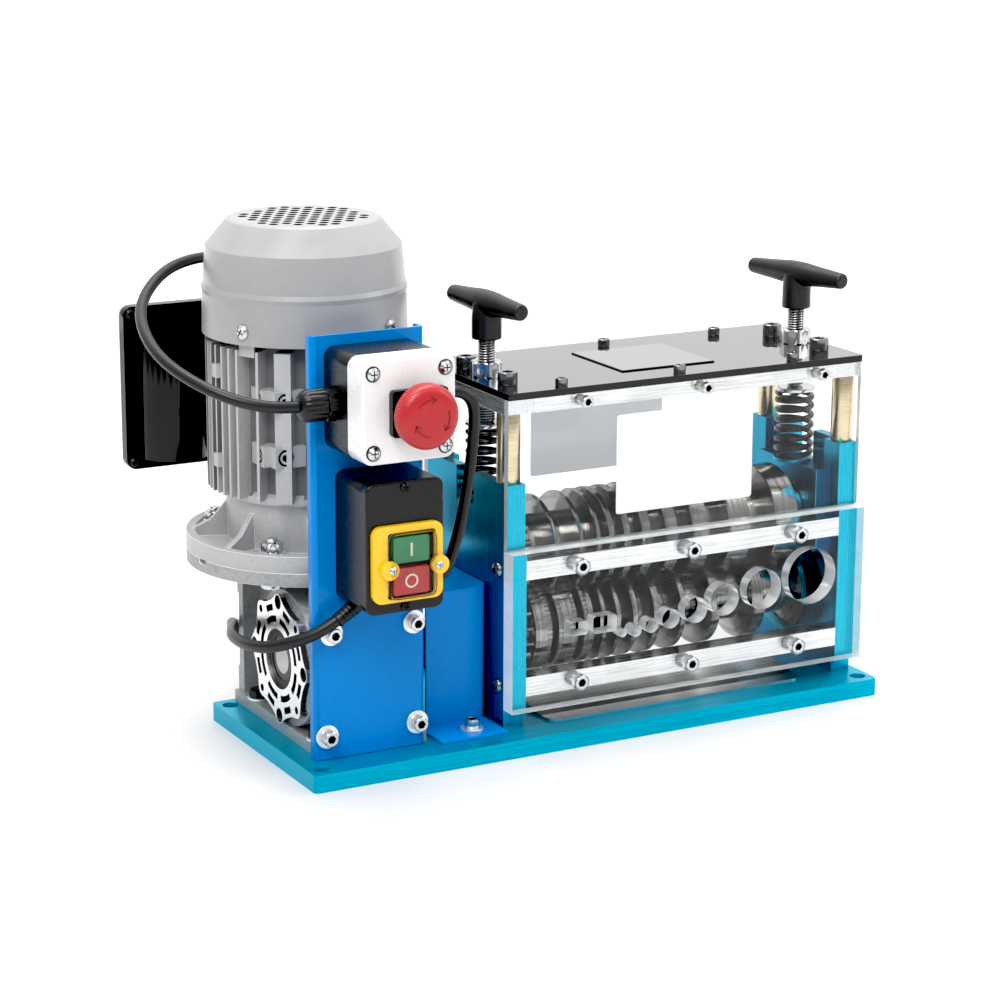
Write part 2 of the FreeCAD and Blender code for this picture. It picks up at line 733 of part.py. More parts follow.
def pressure_nut(x):
    nut = prism(NUT_FLATS / 2, 6, V(x, 0, TOP_Z), Z, NUT_HEIGHT, math.radians(12))
    return nut.cut(disc(SCREW_R + RUN_CLEAR, V(x, 0, TOP_Z), Z, NUT_HEIGHT))


def frame_screws():
    sockets = cap_bolts() + cover_bolts() + shield_bolts() + panel_bolts() + base_bolts()
    pieces = [socket_screw(*f) for f in sockets]
    pieces += [button_screw(*f) for f in bar_end_bolts()]
    return pieces + [pressure_nut(x) for x in SCREW_X.values()]


def chute():
    """A bent sheet: flat lip on the base, slope up under the rollers and a foot at the rear."""
    t = CHUTE_THICK
    lip = CHUTE_FRONT + CHUTE_LIP
    outline = [
        V(0, CHUTE_FRONT, BASE_TOP), V(0, lip, BASE_TOP), V(0, CHUTE_REAR - t, CHUTE_REAR_Z - t),
        V(0, CHUTE_REAR - t, BASE_TOP), V(0, CHUTE_REAR, BASE_TOP), V(0, CHUTE_REAR, CHUTE_REAR_Z),
        V(0, lip, BASE_TOP + t), V(0, CHUTE_FRONT, BASE_TOP + t),
    ]
    sheet = plate_from([p + X * CHUTE_LEFT for p in outline], X * (CHUTE_RIGHT - CHUTE_LEFT))
    return softened(sheet, 9.0, lambda p: abs(p.y - CHUTE_FRONT) < 0.01 and abs(p.z - BASE_TOP - t / 2) < 0.01)


# Coupling guard, folded from one sheet: front wall, right wall, top and a foot
def coupling_guard():
    t = GUARD_THICK
    shell = block(GUARD_LEFT, GUARD_RIGHT, GUARD_FRONT, GUARD_REAR, BASE_TOP, GUARD_TOP)
    shell = softened(shell, GUARD_BEND_R, lambda p: p.y < GUARD_FRONT + 0.01 and p.x > GUARD_RIGHT - 0.01)
    top_front = lambda p: p.y < GUARD_FRONT + GUARD_BEND_R and abs(p.z - GUARD_TOP) < 0.01
    hollow = block(GUARD_LEFT - 1, GUARD_RIGHT - t, GUARD_FRONT + t, GUARD_REAR + 1, BASE_TOP - 1, GUARD_TOP - t)
    hollow = softened(hollow, GUARD_BEND_R - t,
                      lambda p: p.y < GUARD_FRONT + t + 0.01 and p.x > GUARD_RIGHT - t - 0.01)
    foot = block(GUARD_LEFT - 4, GUARD_RIGHT - 3, GUARD_FOOT_FRONT, GUARD_FRONT + t, BASE_TOP, BASE_TOP + t)
    shaft_way = disc(SHAFT_R + 3, V(GUARD_RIGHT - t - 1, 0, ROLLER_AXIS_Z), X, t + 2)
    screw_way = screw_hole(guard_bolt())
    return cut_all(joined([shell.cut(hollow), foot]), [shaft_way, screw_way])


# Control bracket, a channel folded from one sheet
def control_bracket():
    t = BRACKET_THICK
    bottom = BASE_TOP + 0.3
    deep = max(BRACKET_LEFT_RETURN, BRACKET_RIGHT_RETURN)
    y0 = BRACKET_FRONT
    outer = rounded_front(BRACKET_LEFT, BRACKET_RIGHT, y0, y0 + deep, bottom, BRACKET_TOP, t + BRACKET_BEND_R)
    inner = rounded_front(BRACKET_LEFT + t, BRACKET_RIGHT - t, y0 + t, y0 + deep + 1, bottom - 1,
                          BRACKET_TOP + 1, BRACKET_BEND_R)
    short = block(BRACKET_LEFT - 1, BRACKET_LEFT + t + 1, y0 + BRACKET_LEFT_RETURN, y0 + deep + 1,
                  bottom - 1, BRACKET_TOP + 1)
    return cut_all(outer, [inner, short, bracket_relief()] + screw_holes(bracket_bolts()))


def rounded_front(x0, x1, y0, y1, z0, z1, radius):
    """A block whose two upright front edges are rounded."""
    return softened(block(x0, x1, y0, y1, z0, z1), radius,
                    lambda p: abs(p.y - y0) < 0.01 and abs(p.z - (z0 + z1) / 2) < 0.01)


def bracket_relief():
    """The right fold is cut back where it would meet the gearbox's foot and the flange."""
    return block(BRACKET_RIGHT - BRACKET_THICK - 1, BRACKET_RIGHT + 1, BOX_FRONT,
                 BOX_FRONT + BRACKET_RIGHT_RETURN, 0, BASE_TOP + BOX_FOOT_THICK + 2)


def mounting_bolts():
    pieces = [socket_screw(*f) for f in bracket_bolts()]
    for seat, out, radius, _ in bracket_bolts():
        back = seat - out * WASHER_M6_THICK
        pieces.append(washer(back, out, radius + BOLT_CLEAR, WASHER_M6_R, WASHER_M6_THICK))
    for fastener in gearbox_bolts() + flange_bolts() + [guard_bolt()]:
        seat, out, radius, _ = fastener
        pieces.append(hex_screw(*fastener))
        back = seat - out * WASHER_M6_THICK
        pieces.append(washer(back, out, radius + BOLT_CLEAR, radius * 2.1, WASHER_M6_THICK))
    for seat, out, radius, _ in flange_bolts():
        under = V(seat.x, seat.y, BOX_TOP)
        nut = prism(radius * 1.63, 6, under, -Z, radius * 1.6)
        pieces.append(nut.cut(disc(radius, under, -Z, radius * 1.6)))
    return pieces


# Gearbox
def gearbox_housing():
    left = WORM_X - BOX_HALF
    axis = V(left, 0, ROLLER_AXIS_Z)
    drum = disc(DRUM_R, axis, X, 2 * BOX_HALF)
    tower = block(WORM_X - TOWER_HALF, WORM_X + TOWER_HALF, 0, BOX_REAR - 6, BASE_TOP, BOX_TOP)
    foot = block(WORM_X - BOX_FOOT_HALF, WORM_X + BOX_FOOT_HALF, BOX_FRONT, BOX_REAR,
                 BASE_TOP, BASE_TOP + BOX_FOOT_THICK)
    fold = BRACKET_THICK + BRACKET_BEND_R + PLAY
    front_left = max(left, BRACKET_LEFT + fold)
    front_right = min(left + 2 * BOX_HALF, BRACKET_RIGHT - fold)
    front = block(front_left, front_right, BOX_FRONT, BOX_FRONT + 7, BASE_TOP, BOX_TOP - 8)
    rear = block(left, left + 2 * BOX_HALF, BOX_REAR - 9, BOX_REAR - 2, BASE_TOP, BOX_TOP)
    top = block(left, left + 2 * BOX_HALF, 2, BOX_REAR - 2, BOX_TOP - 7, BOX_TOP)
    pieces = [drum, tower, foot, front, rear, top]
    for x in (left + 17, left + 2 * BOX_HALF - 17):
        for z0, z1 in ((BASE_TOP, 37.0), (88.0, BOX_TOP)):
            pieces.append(block(x - 17, x + 17, BOX_REAR - 2, BOX_REAR, z0, z1))
        pieces.append(block(x - 3, x + 3, BOX_FRONT, 0, BASE_TOP, BOX_TOP - 40))
    body = joined(pieces)
    wheel_room = disc(WHEEL_BORE_R, axis - X, X, 2 * BOX_HALF + 2)
    worm_room = disc(WORM_BEARING_R, WORM_AXIS + Z * (BASE_TOP + 10), Z, BOX_TOP)
    return cut_all(body, [wheel_room, worm_room] + screw_holes(gearbox_bolts() + bracket_bolts()))


def gearbox_cover(side):
    """A ribbed star cover with a spigot in the housing, the hub's bearing seat and the seal's seat."""
    out = -X if side == "left" else X
    face = V(WORM_X, 0, ROLLER_AXIS_Z) + out * BOX_HALF
    spigot = disc(WHEEL_BORE_R - 0.1, face - out * SPIGOT_DEPTH, out, SPIGOT_DEPTH + 1)
    body = joined([spigot, star_plate(face, out)])
    tools = [disc(HUB_BEARING_R, face - out * (SPIGOT_DEPTH + 1), out, SPIGOT_DEPTH),
             disc(SEAL_R, face - out * 2, out, COVER_THICK + 4)]
    floor = face + out * (COVER_THICK - STAR_POCKET_DEPTH)
    for k in range(8):
        hole = turned_point(STAR_HOLE_R, 45 * k)
        tools.append(disc(2.6, face + hole + out * 1.5, out, COVER_THICK))
        if k % 2 == 0:
            tools.append(disc(4.8, face + hole + out * (COVER_THICK - 2.5), out, COVER_THICK))
        for inner, outer, half in STAR_POCKETS:
            turns = [22.5 + 45 * k + half * s for s in (-1, -0.5, 0, 0.5, 1)]
            outline = [turned_point(inner, d) for d in turns] + [turned_point(outer, d) for d in reversed(turns)]
            tools.append(plate_from([floor + p for p in outline], out * (STAR_POCKET_DEPTH + 1)))
    return cut_all(body, tools)


def star_plate(face, out):
    """A plate whose smooth outline has eight lobes."""
    points = []
    for k in range(96):
        angle = 360.0 * k / 96
        apart = min(angle % 45, 45 - angle % 45)
        reach = STAR_WAIST_R + (STAR_TIP_R - STAR_WAIST_R) * math.exp(-(apart / STAR_LOBE_SPREAD) ** 2)
        points.append(face + turned_point(reach, angle))
    curve = Part.BSplineCurve()
    curve.interpolate(Points=points, PeriodicFlag=True)
    return Part.Face(Part.Wire(curve.toShape())).extrude(out * COVER_THICK)


def turned_point(radius, degrees):
    """A point on a circle about an axis along X."""
    angle = math.radians(degrees)
    return V(0, radius * math.cos(angle), radius * math.sin(angle))


def output_seals():
    seals = []
    for out in (-X, X):
        start = V(WORM_X, 0, ROLLER_AXIS_Z) + out * (BOX_HALF - 1.5)
        seals.append(ring(SEAL_R, OUTPUT_HUB_R + RUN_CLEAR, start, out, COVER_THICK - 0.5))
    return seals


def gearbox_flange():
    flange = ring(FLANGE_R, WORM_BEARING_R, WORM_AXIS + Z * BOX_TOP, Z, FLANGE_THICK)
    notch = block(WORM_X - FLANGE_R - 1, WORM_X - FLANGE_R + 3, WORM_Y - 14, WORM_Y - 6,
                  BOX_TOP + FLANGE_THICK - 3, BOX_TOP + FLANGE_THICK + 1)
    return cut_all(flange, [notch] + screw_holes(flange_bolts()))


def worm_wheel():
    """Hub, web and rim with straight teeth set at the worm's lead angle."""
    centre = V(WORM_X, 0, ROLLER_AXIS_Z)
    pitch_r = WORM_MODULE * WHEEL_TEETH / 2
    half = WHEEL_FACE / 2
    hub_half = BOX_HALF + 3.5
    hub = disc(OUTPUT_HUB_R, centre - X * hub_half, X, 2 * hub_half)
    web = disc(pitch_r - 2.6, centre - X * half, X, WHEEL_FACE)
    profile = [(pitch_r - 3.2, 1.6), (pitch_r + 2.0, 0.6), (pitch_r + 2.0, -0.6), (pitch_r - 3.2, -1.6)]
    points = [centre + V(-half, r, w) for r, w in profile]
    tooth = plate_from(points, X * WHEEL_FACE)
    worm_pitch_r = WORM_Y - pitch_r
    lead = math.degrees(math.atan(WORM_MODULE / 2 / worm_pitch_r))
    tooth.rotate(centre, Y, -lead)
    wheel = joined([hub, web] + spun(tooth, WHEEL_TEETH, centre, X))
    return wheel.cut(disc(SHAFT_R, centre - X * hub_half, X, 2 * hub_half))


def worm():
    """Core, journal and sleeve, with a thread that lies between two teeth of the wheel."""
    pitch = math.pi * WORM_MODULE
    bottom = BASE_TOP + 10
    thread_z = ROLLER_AXIS_Z - pitch * (WORM_TURNS / 2 + 0.25)
    core = turned([(0, bottom + 0.5), (MOTOR_JOURNAL_R, bottom + 0.5), (MOTOR_JOURNAL_R, bottom + 12),
                   (WORM_CORE_R, bottom + 12), (WORM_CORE_R, 92), (WORM_SLEEVE_R, 95),
                   (WORM_SLEEVE_R, BOX_TOP), (MOTOR_SHAFT_R, BOX_TOP), (MOTOR_SHAFT_R, 97), (0, 97)],
                  WORM_AXIS, Z)
    helix = Part.makeHelix(pitch, pitch * WORM_TURNS, WORM_CORE_R)
    root = WORM_CORE_R - 0.4
    section = Part.makePolygon([V(root, 0, -2.1), V(WORM_TIP_R, 0, -0.9), V(WORM_TIP_R, 0, 0.9),
                                V(root, 0, 2.1), V(root, 0, -2.1)])
    thread = Part.Wire(helix).makePipeShell([section], True, True)
    thread.translate(WORM_AXIS + Z * thread_z)
    return core.fuse(thread)


def bearing(inner, outer, width, start, axis, balls=8):
    """Two races with balls that touch both."""
    race = (outer - inner) * 0.28
    gap = outer - inner - 2 * race
    pieces = [ring(outer, outer - race, start, axis, width), ring(inner + race, inner, start, axis, width)]
    ball = Part.makeSphere(gap / 2 - 0.01)
    ball.translate(V(inner + race + gap / 2, 0, width / 2))
    for copy in spun(ball, balls, V(), Z):
        pieces.append(placed_copy(copy, start, axis))
    return pieces


def placed_copy(shape, at, axis):
    moved = shape.copy()
    turn = FreeCAD.Rotation(Z, axis)
    moved.Placement = FreeCAD.Placement(at, turn).multiply(moved.Placement)
    return moved


def shaft_bearings():
    pieces = []
    hub = V(WORM_X, 0, ROLLER_AXIS_Z)
    for out in (-X, X):
        start = hub + out * (BOX_HALF - SPIGOT_DEPTH + 0.3)
        pieces += bearing(OUTPUT_HUB_R + RUN_CLEAR, HUB_BEARING_R, HUB_BEARING_WIDTH, start, out, 10)
    low = WORM_AXIS + Z * (BASE_TOP + 10)
    pieces += bearing(MOTOR_JOURNAL_R + RUN_CLEAR, WORM_BEARING_R, MOTOR_BEARING_WIDTH, low, Z)
    high = WORM_AXIS + Z * 98
    pieces += bearing(WORM_SLEEVE_R + RUN_CLEAR, WORM_BEARING_R, 10, high, Z)
    for z in (MOTOR_BASE_Z + 12, SHELL_TOP - MOTOR_BEARING_WIDTH):
        start = WORM_AXIS + Z * z
        pieces += bearing(MOTOR_JOURNAL_R + RUN_CLEAR, WORM_BEARING_R, MOTOR_BEARING_WIDTH, start, Z)
    for x in (LEFT_IN - BEARING_WIDTH, RIGHT_IN):
        pieces += bearing(SHAFT_R + RUN_CLEAR, BEARING_R, BEARING_WIDTH, V(x, 0, ROLLER_AXIS_Z), X)
    return pieces


# Motor
def motor_flange():
    base = MOTOR_BASE_Z
    shield = turned([(WORM_BEARING_R, base + 10), (WORM_BEARING_R - 3, base), (FLANGE_R, base),
                     (FLANGE_R, base + MOTOR_FLANGE_THICK), (FLANGE_R - FLANGE_RIM, base + MOTOR_FLANGE_THICK),
                     (FLANGE_R - FLANGE_RIM, base + MOTOR_WEB), (COLLAR_R, base + MOTOR_WEB),
                     (COLLAR_R + 1.5, COLLAR_TOP), (SHELL_R - SHELL_WALL - 1, COLLAR_TOP),
                     (SHELL_R - SHELL_WALL - 3, base + 26), (WORM_BEARING_R, base + 24)], WORM_AXIS, Z)
    rib = plate_from([V(COLLAR_R - 1, -2, base + 5), V(FLANGE_R - 4, -2, base + 5),
                      V(FLANGE_R - 4, -2, base + MOTOR_FLANGE_THICK), V(COLLAR_R + 12, -2, base + 17),
                      V(COLLAR_R - 1, -2, COLLAR_TOP - 6)], Y * 4)
    rib.translate(WORM_AXIS)
    ribs = spun(rib, RIB_COUNT, WORM_AXIS, Z, 22.5)
    seats = [disc(BOLT_SEAT_R, V(seat.x, seat.y, base + 2), Z, BOLT_SEAT_HEIGHT - 2)
             for seat, _, _, _ in flange_bolts()]
    return cut_all(joined([shield] + ribs + seats), screw_holes(flange_bolts()))


def motor_housing():
    """Finned tube with its end shield, cast lugs, a pad for the box and arms for the fan cover."""
    low = COLLAR_TOP
    shell = turned([(SHELL_R - SHELL_WALL, low), (SHELL_R, low), (SHELL_R, SHELL_TOP),
                    (WORM_BEARING_R, SHELL_TOP), (WORM_BEARING_R, SHELL_TOP - MOTOR_BEARING_WIDTH),
                    (SHELL_R - SHELL_WALL, SHELL_TOP - MOTOR_BEARING_WIDTH - 2)], WORM_AXIS, Z)
    foot_ring = turned([(SHELL_R - 1, low), (SHELL_R + 3, low), (SHELL_R + 3, FIN_BOTTOM), (SHELL_R - 1, FIN_BOTTOM + 3)],
                       WORM_AXIS, Z)
    pieces = [shell, foot_ring]
    for angle, thick in FINS:
        fin = block(SHELL_R - 1, FIN_R, -thick / 2, thick / 2, FIN_BOTTOM - 1, SHELL_TOP - 4)
        fin.translate(WORM_AXIS)
        pieces += spun(fin, 4, WORM_AXIS, Z, angle)
    for side in (-1, 1):
        for low_z in LUG_BOTTOMS:
            corners = [WORM_AXIS + V(side * x, y, low_z) for x, y in LUG_OUTLINE]
            pieces.append(plate_from(corners, Z * LUG_HEIGHT))
        for low_z in BOSS_BOTTOMS:
            x0, x1 = sorted((side * (SHELL_R - 1), side * (FIN_R + 2)))
            boss = block(x0, x1, -10, -3, low_z, low_z + 8.5)
            boss.translate(WORM_AXIS)
            pieces.append(boss)
    pieces.append(block(WORM_X - PAD_HALF, WORM_X + PAD_HALF, WORM_Y + SHELL_R - 12, PAD_FACE_Y, 186, 256))
    reach = COVER_BOTTOM_R - COVER_WALL - 2
    arm = joined([block(SHELL_R - 3, reach, -6, 6, SHELL_TOP - 8, SHELL_TOP - 1),
                  block(reach - 5, reach, -6, 6, SHELL_TOP - 2, COVER_SCREW_Z + 4)])
    arm.translate(WORM_AXIS)
    pieces += spun(arm, 4, WORM_AXIS, Z, COVER_SCREW_ANGLE)
    body = joined(pieces)
    clear = disc(SHELL_R - SHELL_WALL, WORM_AXIS + Z * low, Z, SHELL_TOP - MOTOR_BEARING_WIDTH - 2 - low)
    return cut_all(body, [clear] + lug_holes() + screw_holes(fan_cover_screws()))


def lug_holes():
    """A tapped hole inside a shallow ring in each of the two faces of every lug."""
    side_x = LUG_OUTLINE[0][0]
    front_y = LUG_OUTLINE[3][1]
    tools = []
    for side in (-1, 1):
        for low_z in LUG_BOTTOMS:
            z = low_z + LUG_HEIGHT / 2
            front = WORM_AXIS + V(side * LUG_HOLE_X, front_y, z)
            flank = WORM_AXIS + V(side * side_x, LUG_HOLE_Y, z)
            tools.append(ring(5.6, 4.0, front - Y, Y, 1.8))
            tools.append(disc(2.5, front - Y, Y, 10))
            tools.append(ring(4.6, 3.2, flank + X * side, X * -side, 1.6))
            tools.append(disc(2.0, flank + X * side, X * -side, 9))
    return tools


def motor_stator():
    core = ring(SHELL_R - SHELL_WALL, STATOR_INNER_R, WORM_AXIS + Z * CORE_BOTTOM, Z, CORE_TOP - CORE_BOTTOM)
    pieces = [core]
    for z in (CORE_BOTTOM - 10, CORE_TOP):
        pieces.append(ring(SHELL_R - SHELL_WALL - 4, STATOR_INNER_R + 3, WORM_AXIS + Z * z, Z, 10))
    return pieces


def motor_rotor():
    """Shaft with two journals and the rotor's core; its lower end fits the worm's sleeve."""
    low = MOTOR_BASE_Z
    profile = [(0, 98), (MOTOR_SHAFT_R, 98), (MOTOR_SHAFT_R, low + 11), (MOTOR_JOURNAL_R, low + 11),
               (MOTOR_JOURNAL_R, CORE_BOTTOM), (ROTOR_R, CORE_BOTTOM), (ROTOR_R, CORE_TOP),
               (MOTOR_JOURNAL_R, CORE_TOP), (MOTOR_JOURNAL_R, SHELL_TOP + 4), (MOTOR_SHAFT_R, SHELL_TOP + 4),
               (MOTOR_SHAFT_R, FAN_BOTTOM + FAN_HEIGHT + 2), (0, FAN_BOTTOM + FAN_HEIGHT + 2)]
    return turned(profile, WORM_AXIS, Z)


def motor_fan():
    base = WORM_AXIS + Z * FAN_BOTTOM
    plate = disc(FAN_R, base, Z, 2.0)
    hub = disc(13.0, base, Z, FAN_HEIGHT)
    blade = block(12.0, FAN_R, -1.0, 1.0, 0, FAN_HEIGHT)
    blade.translate(base)
    fan = joined([plate, hub] + spun(blade, FAN_BLADES, base, Z))
    return fan.cut(disc(MOTOR_SHAFT_R, base, Z, FAN_HEIGHT))


def fan_cover():
    w = COVER_WALL
    bead_z = 301.0
    outer = [(COVER_BOTTOM_R, COVER_BOTTOM), (COVER_BOTTOM_R - 0.4, bead_z - 3), (COVER_BOTTOM_R + 0.2, bead_z),
             (COVER_BOTTOM_R - 1.0, bead_z + 3), (COVER_SHOULDER_R, COVER_SHOULDER), (COVER_TOP_R, COVER_TOP - 1),
             (COVER_TOP_R - 2, COVER_TOP), (0, COVER_TOP)]
    inner = [(0, COVER_TOP - w), (COVER_TOP_R - 3, COVER_TOP - w), (COVER_SHOULDER_R - w, COVER_SHOULDER - 0.8),
             (COVER_BOTTOM_R - w - 0.4, COVER_BOTTOM)]
    shell = turned(outer + inner, WORM_AXIS, Z)
    return cut_all(shell, vents() + screw_holes(fan_cover_screws()))


def vents():
    """Round air holes on a staggered grid inside a circle."""
    tools = []
    rows = int(VENT_FIELD_R / (VENT_PITCH * 0.866))
    for row in range(-rows, rows + 1):
        y = row * VENT_PITCH * 0.866
        shift = VENT_PITCH / 2 if row % 2 else 0.0
        for column in range(-6, 7):
            x = column * VENT_PITCH + shift
            if math.hypot(x, y) < VENT_FIELD_R:
                start = WORM_AXIS + V(x, y, COVER_TOP - COVER_WALL - 1)
                tools.append(disc(VENT_R, start, Z, COVER_WALL + 2))
    return tools


# Terminal box
def barrel(side, radius, bottom, top):
    centre = V(WORM_X + side * BARREL_OFFSET, TBOX_FLANGE_Y - 1, bottom)
    half = block(centre.x - radius - 1, centre.x + radius + 1, centre.y - radius - 1, TBOX_FLANGE_Y, bottom, top)
    return disc(radius, centre, Z, top - bottom).common(half)


def terminal_box():
    """Flange plate with a shallow body and two half round barrels towards the front, and the lid."""
    left = WORM_X - TBOX_HALF
    right = WORM_X + TBOX_HALF
    flange = rounded(block(left, right, TBOX_FLANGE_Y, TBOX_BACK_Y, TBOX_BOTTOM, TBOX_TOP), TBOX_CORNER, Y)
    front = TBOX_FLANGE_Y - SHOULDER_DEPTH
    inset = TBOX_BODY_INSET
    low = TBOX_BOTTOM + TBOX_BODY_RAISE
    high = TBOX_TOP - inset
    body = block(left + inset, right - inset, front, TBOX_FLANGE_Y + 1, low, high)
    body = softened(body, 5.0, lambda p: abs(p.y - front) < 0.01 and abs(p.z - (low + high) / 2) < 1)
    neck = block(WORM_X - PAD_HALF, WORM_X + PAD_HALF, PAD_FACE_Y, front + 1, 190, 250)
    pieces = [flange, body, neck] + [barrel(s, BARREL_R, low, BARREL_TOP) for s in (-1, 1)]
    w = TBOX_WALL
    tools = [block(left + inset + w, right - inset - w, front + w, TBOX_BACK_Y + 1, low + w, TBOX_LID_TOP - 6)]
    for s in (-1, 1):
        hollow = barrel(s, BARREL_R - w, low + w, BARREL_TOP - w)
        tools.append(hollow)
    base = cut_all(joined(pieces), tools + screw_holes(tbox_screws()))
    rim = block(left, right, TBOX_BACK_Y, TBOX_BACK_Y + TBOX_RIM_THICK, TBOX_BOTTOM, TBOX_TOP)
    gland_room = block(TBOX_GLAND_X - 12, TBOX_GLAND_X + 12, TBOX_BACK_Y - 1, TBOX_BACK_Y + TBOX_RIM_THICK + 1,
                       TBOX_LID_TOP, TBOX_TOP + 1)
    bulge_left = left + TBOX_LID_INSET
    bulge_right = right - TBOX_LID_INSET
    bulge = block(bulge_left, bulge_right, TBOX_BACK_Y, TBOX_BACK_Y + TBOX_LID_DEPTH, TBOX_BOTTOM + 6, TBOX_LID_TOP)
    lid = joined([rounded(rim, TBOX_CORNER, Y).cut(gland_room), rounded(bulge, TBOX_CORNER - 1, Y)])
    room = block(bulge_left + w, bulge_right - w, TBOX_BACK_Y - 1, TBOX_BACK_Y + TBOX_LID_DEPTH - w,
                 TBOX_BOTTOM + 6 + w, TBOX_LID_TOP - 6)
    cable_way = disc(CABLE_R + 0.3, tbox_gland_seat() - Z * 8, Z, 10)
    return [base, cut_all(lid, [room, cable_way] + screw_holes(tbox_screws()))]


def tbox_gland_seat():
    return V(TBOX_GLAND_X, TBOX_BACK_Y + TBOX_LID_DEPTH / 2, TBOX_LID_TOP)


def electrical_parts():
    """Two run capacitors in the barrels, and the contactor in the switch box."""
    pieces = []
    for s in (-1, 1):
        start = V(WORM_X + s * BARREL_OFFSET, TBOX_FLANGE_Y - 3, TBOX_BOTTOM + TBOX_BODY_RAISE + TBOX_WALL)
        pieces.append(disc(CAPACITOR_R, start, Z, CAPACITOR_LENGTH))
    x0, x1 = SWITCH_LEFT + 10, SWITCH_RIGHT - 9
    back = BRACKET_FRONT - SWITCH_WALL
    pieces.append(block(x0, x1, SWITCH_SEAM_Y + CONTACTOR_DEPTH, back, 136, 182))
    return pieces


def cover_screws():
    small = fan_cover_screws() + stop_screws() + switch_screws() + ear_screws() + tbox_screws()
    return [cross_screw(*f) for f in small]


# Emergency stop
def box_shell(x0, x1, y0, y1, z0, z1, wall, corner):
    """A box open at its front, with rounded upright and level edges along Y."""
    outer = rounded(block(x0, x1, y0, y1, z0, z1), corner, Y)
    inner = rounded(block(x0 + wall, x1 - wall, y0 - 1, y1 - wall, z0 + wall, z1 - wall), corner - 1.5, Y)
    return outer.cut(inner)


def posts(places, radius, y0, y1):
    return [disc(radius, V(x, y0, z), Y, y1 - y0) for x, z in places]


def stop_base():
    shell = box_shell(STOP_LEFT, STOP_RIGHT, STOP_SEAM_Y, BRACKET_FRONT, STOP_BOTTOM, STOP_TOP,
                      STOP_WALL, STOP_CORNER)
    body = joined([shell] + posts(STOP_SCREWS, 4.5, STOP_SEAM_Y, BRACKET_FRONT - 1))
    axis = stop_gland_axis()
    ways = [disc(CABLE_R + 0.3, V(STOP_LEFT - 1, axis.y, axis.z), X, 12),
            disc(CABLE_R + 0.3, V(STOP_RIGHT - 11, axis.y, axis.z), X, 12)]
    return cut_all(body, ways + screw_holes(stop_screws()))


def stop_gland_axis():
    return V(0, -75.0, 248.0)


def stop_lid():
    w = STOP_WALL
    outer = rounded(block(STOP_LEFT, STOP_RIGHT, STOP_FACE_Y, STOP_SEAM_Y, STOP_BOTTOM, STOP_TOP), STOP_CORNER, Y)
    outer = softened(outer, 1.5, lambda p: abs(p.y - STOP_FACE_Y) < 0.01)
    inner = rounded(block(STOP_LEFT + w, STOP_RIGHT - w, STOP_FACE_Y + w, STOP_SEAM_Y + 1,
                          STOP_BOTTOM + w, STOP_TOP - w), STOP_CORNER - 1.5, Y)
    body = joined([outer.cut(inner)] + posts(STOP_SCREWS, 4.5, STOP_FACE_Y + 1, STOP_SEAM_Y))
    neck_hole = disc(STOP_NECK_R, V(STOP_AXIS_X, STOP_FACE_Y - 1, STOP_AXIS_Z), Y, STOP_LID_DEPTH)
    return cut_all(body, [neck_hole] + screw_holes(stop_screws()))


def stop_actuator():
    """Square plate on the lid, threaded neck through it and the contact block on the box's back."""
    x0, x1, z0, z1 = STOP_PLATE
    plate = rounded(block(x0, x1, STOP_FACE_Y - STOP_PLATE_THICK, STOP_FACE_Y, z0, z1), 2.5, Y)
    top = V(STOP_AXIS_X, STOP_FACE_Y - STOP_PLATE_THICK, STOP_AXIS_Z)
    neck = disc(STOP_NECK_R, top, Y, STOP_PLATE_THICK + STOP_WALL + 6)
    bore = disc(STOP_STEM_R + RUN_CLEAR, top - Y, Y, 40)
    head = joined([plate, neck]).cut(bore)
    contact = block(STOP_AXIS_X - 14, STOP_AXIS_X + 14, STOP_SEAM_Y + 4, BRACKET_FRONT - STOP_WALL,
                    STOP_AXIS_Z - 16, STOP_AXIS_Z + 16)
    return [head, contact]


def stop_stem():
    start = stop_head_back() - Y * (STOP_HEAD_SEAT - PLAY)
    return disc(STOP_STEM_R, start, Y, STOP_SEAM_Y + 4 - STOP_TRAVEL - 1 - start.y)


def stop_head_back():
    return V(STOP_AXIS_X, STOP_FACE_Y - STOP_PLATE_THICK - STOP_TRAVEL - 1, STOP_AXIS_Z)


def stop_head():
    """Mushroom with a crowned face and a gripping rim."""
    r = MUSHROOM_R
    h = MUSHROOM_HEIGHT
    back = stop_head_back()
    bore = STOP_STEM_R + RUN_CLEAR
    profile = [(bore, 0), (r - 4, 0), (r - 1, 1.5), (r, 5), (r - 0.4, h - 5), (r - 2.6, h - 1.6),
               (r - 6, h - 0.4), (0, h), (0, STOP_HEAD_SEAT), (bore, STOP_HEAD_SEAT)]
    grips = [disc(0.9, back - Y * 9.5 + rim_point(r + 0.5, 10 * k), Y, 7) for k in range(36)]
    return cut_all(turned(profile, back, -Y), grips)


def rim_point(radius, degrees):
    """A point on a circle about an axis along Y."""
    angle = math.radians(degrees)
    return V(radius * math.cos(angle), 0, radius * math.sin(angle))


# Switch box
def switch_box():
    shell = box_shell(SWITCH_LEFT, SWITCH_RIGHT, SWITCH_SEAM_Y, BRACKET_FRONT, SWITCH_BOTTOM, SWITCH_TOP,
                      SWITCH_WALL, SWITCH_CORNER)
    body = joined([shell] + posts(SWITCH_SCREWS, 3.6, SWITCH_SEAM_Y, BRACKET_FRONT - 1))
    start, way = lead_exit()
    lead_way = disc(LEAD_R + GROMMET_WALL, start - way * 6, way, 24)
    cable_way = disc(CABLE_R + GROMMET_WALL, V(SWITCH_RIGHT - 6, SWITCH_CABLE_Y, SWITCH_CABLE_Z), X, 10)
    return cut_all(body, [lead_way, cable_way] + screw_holes(switch_screws()))


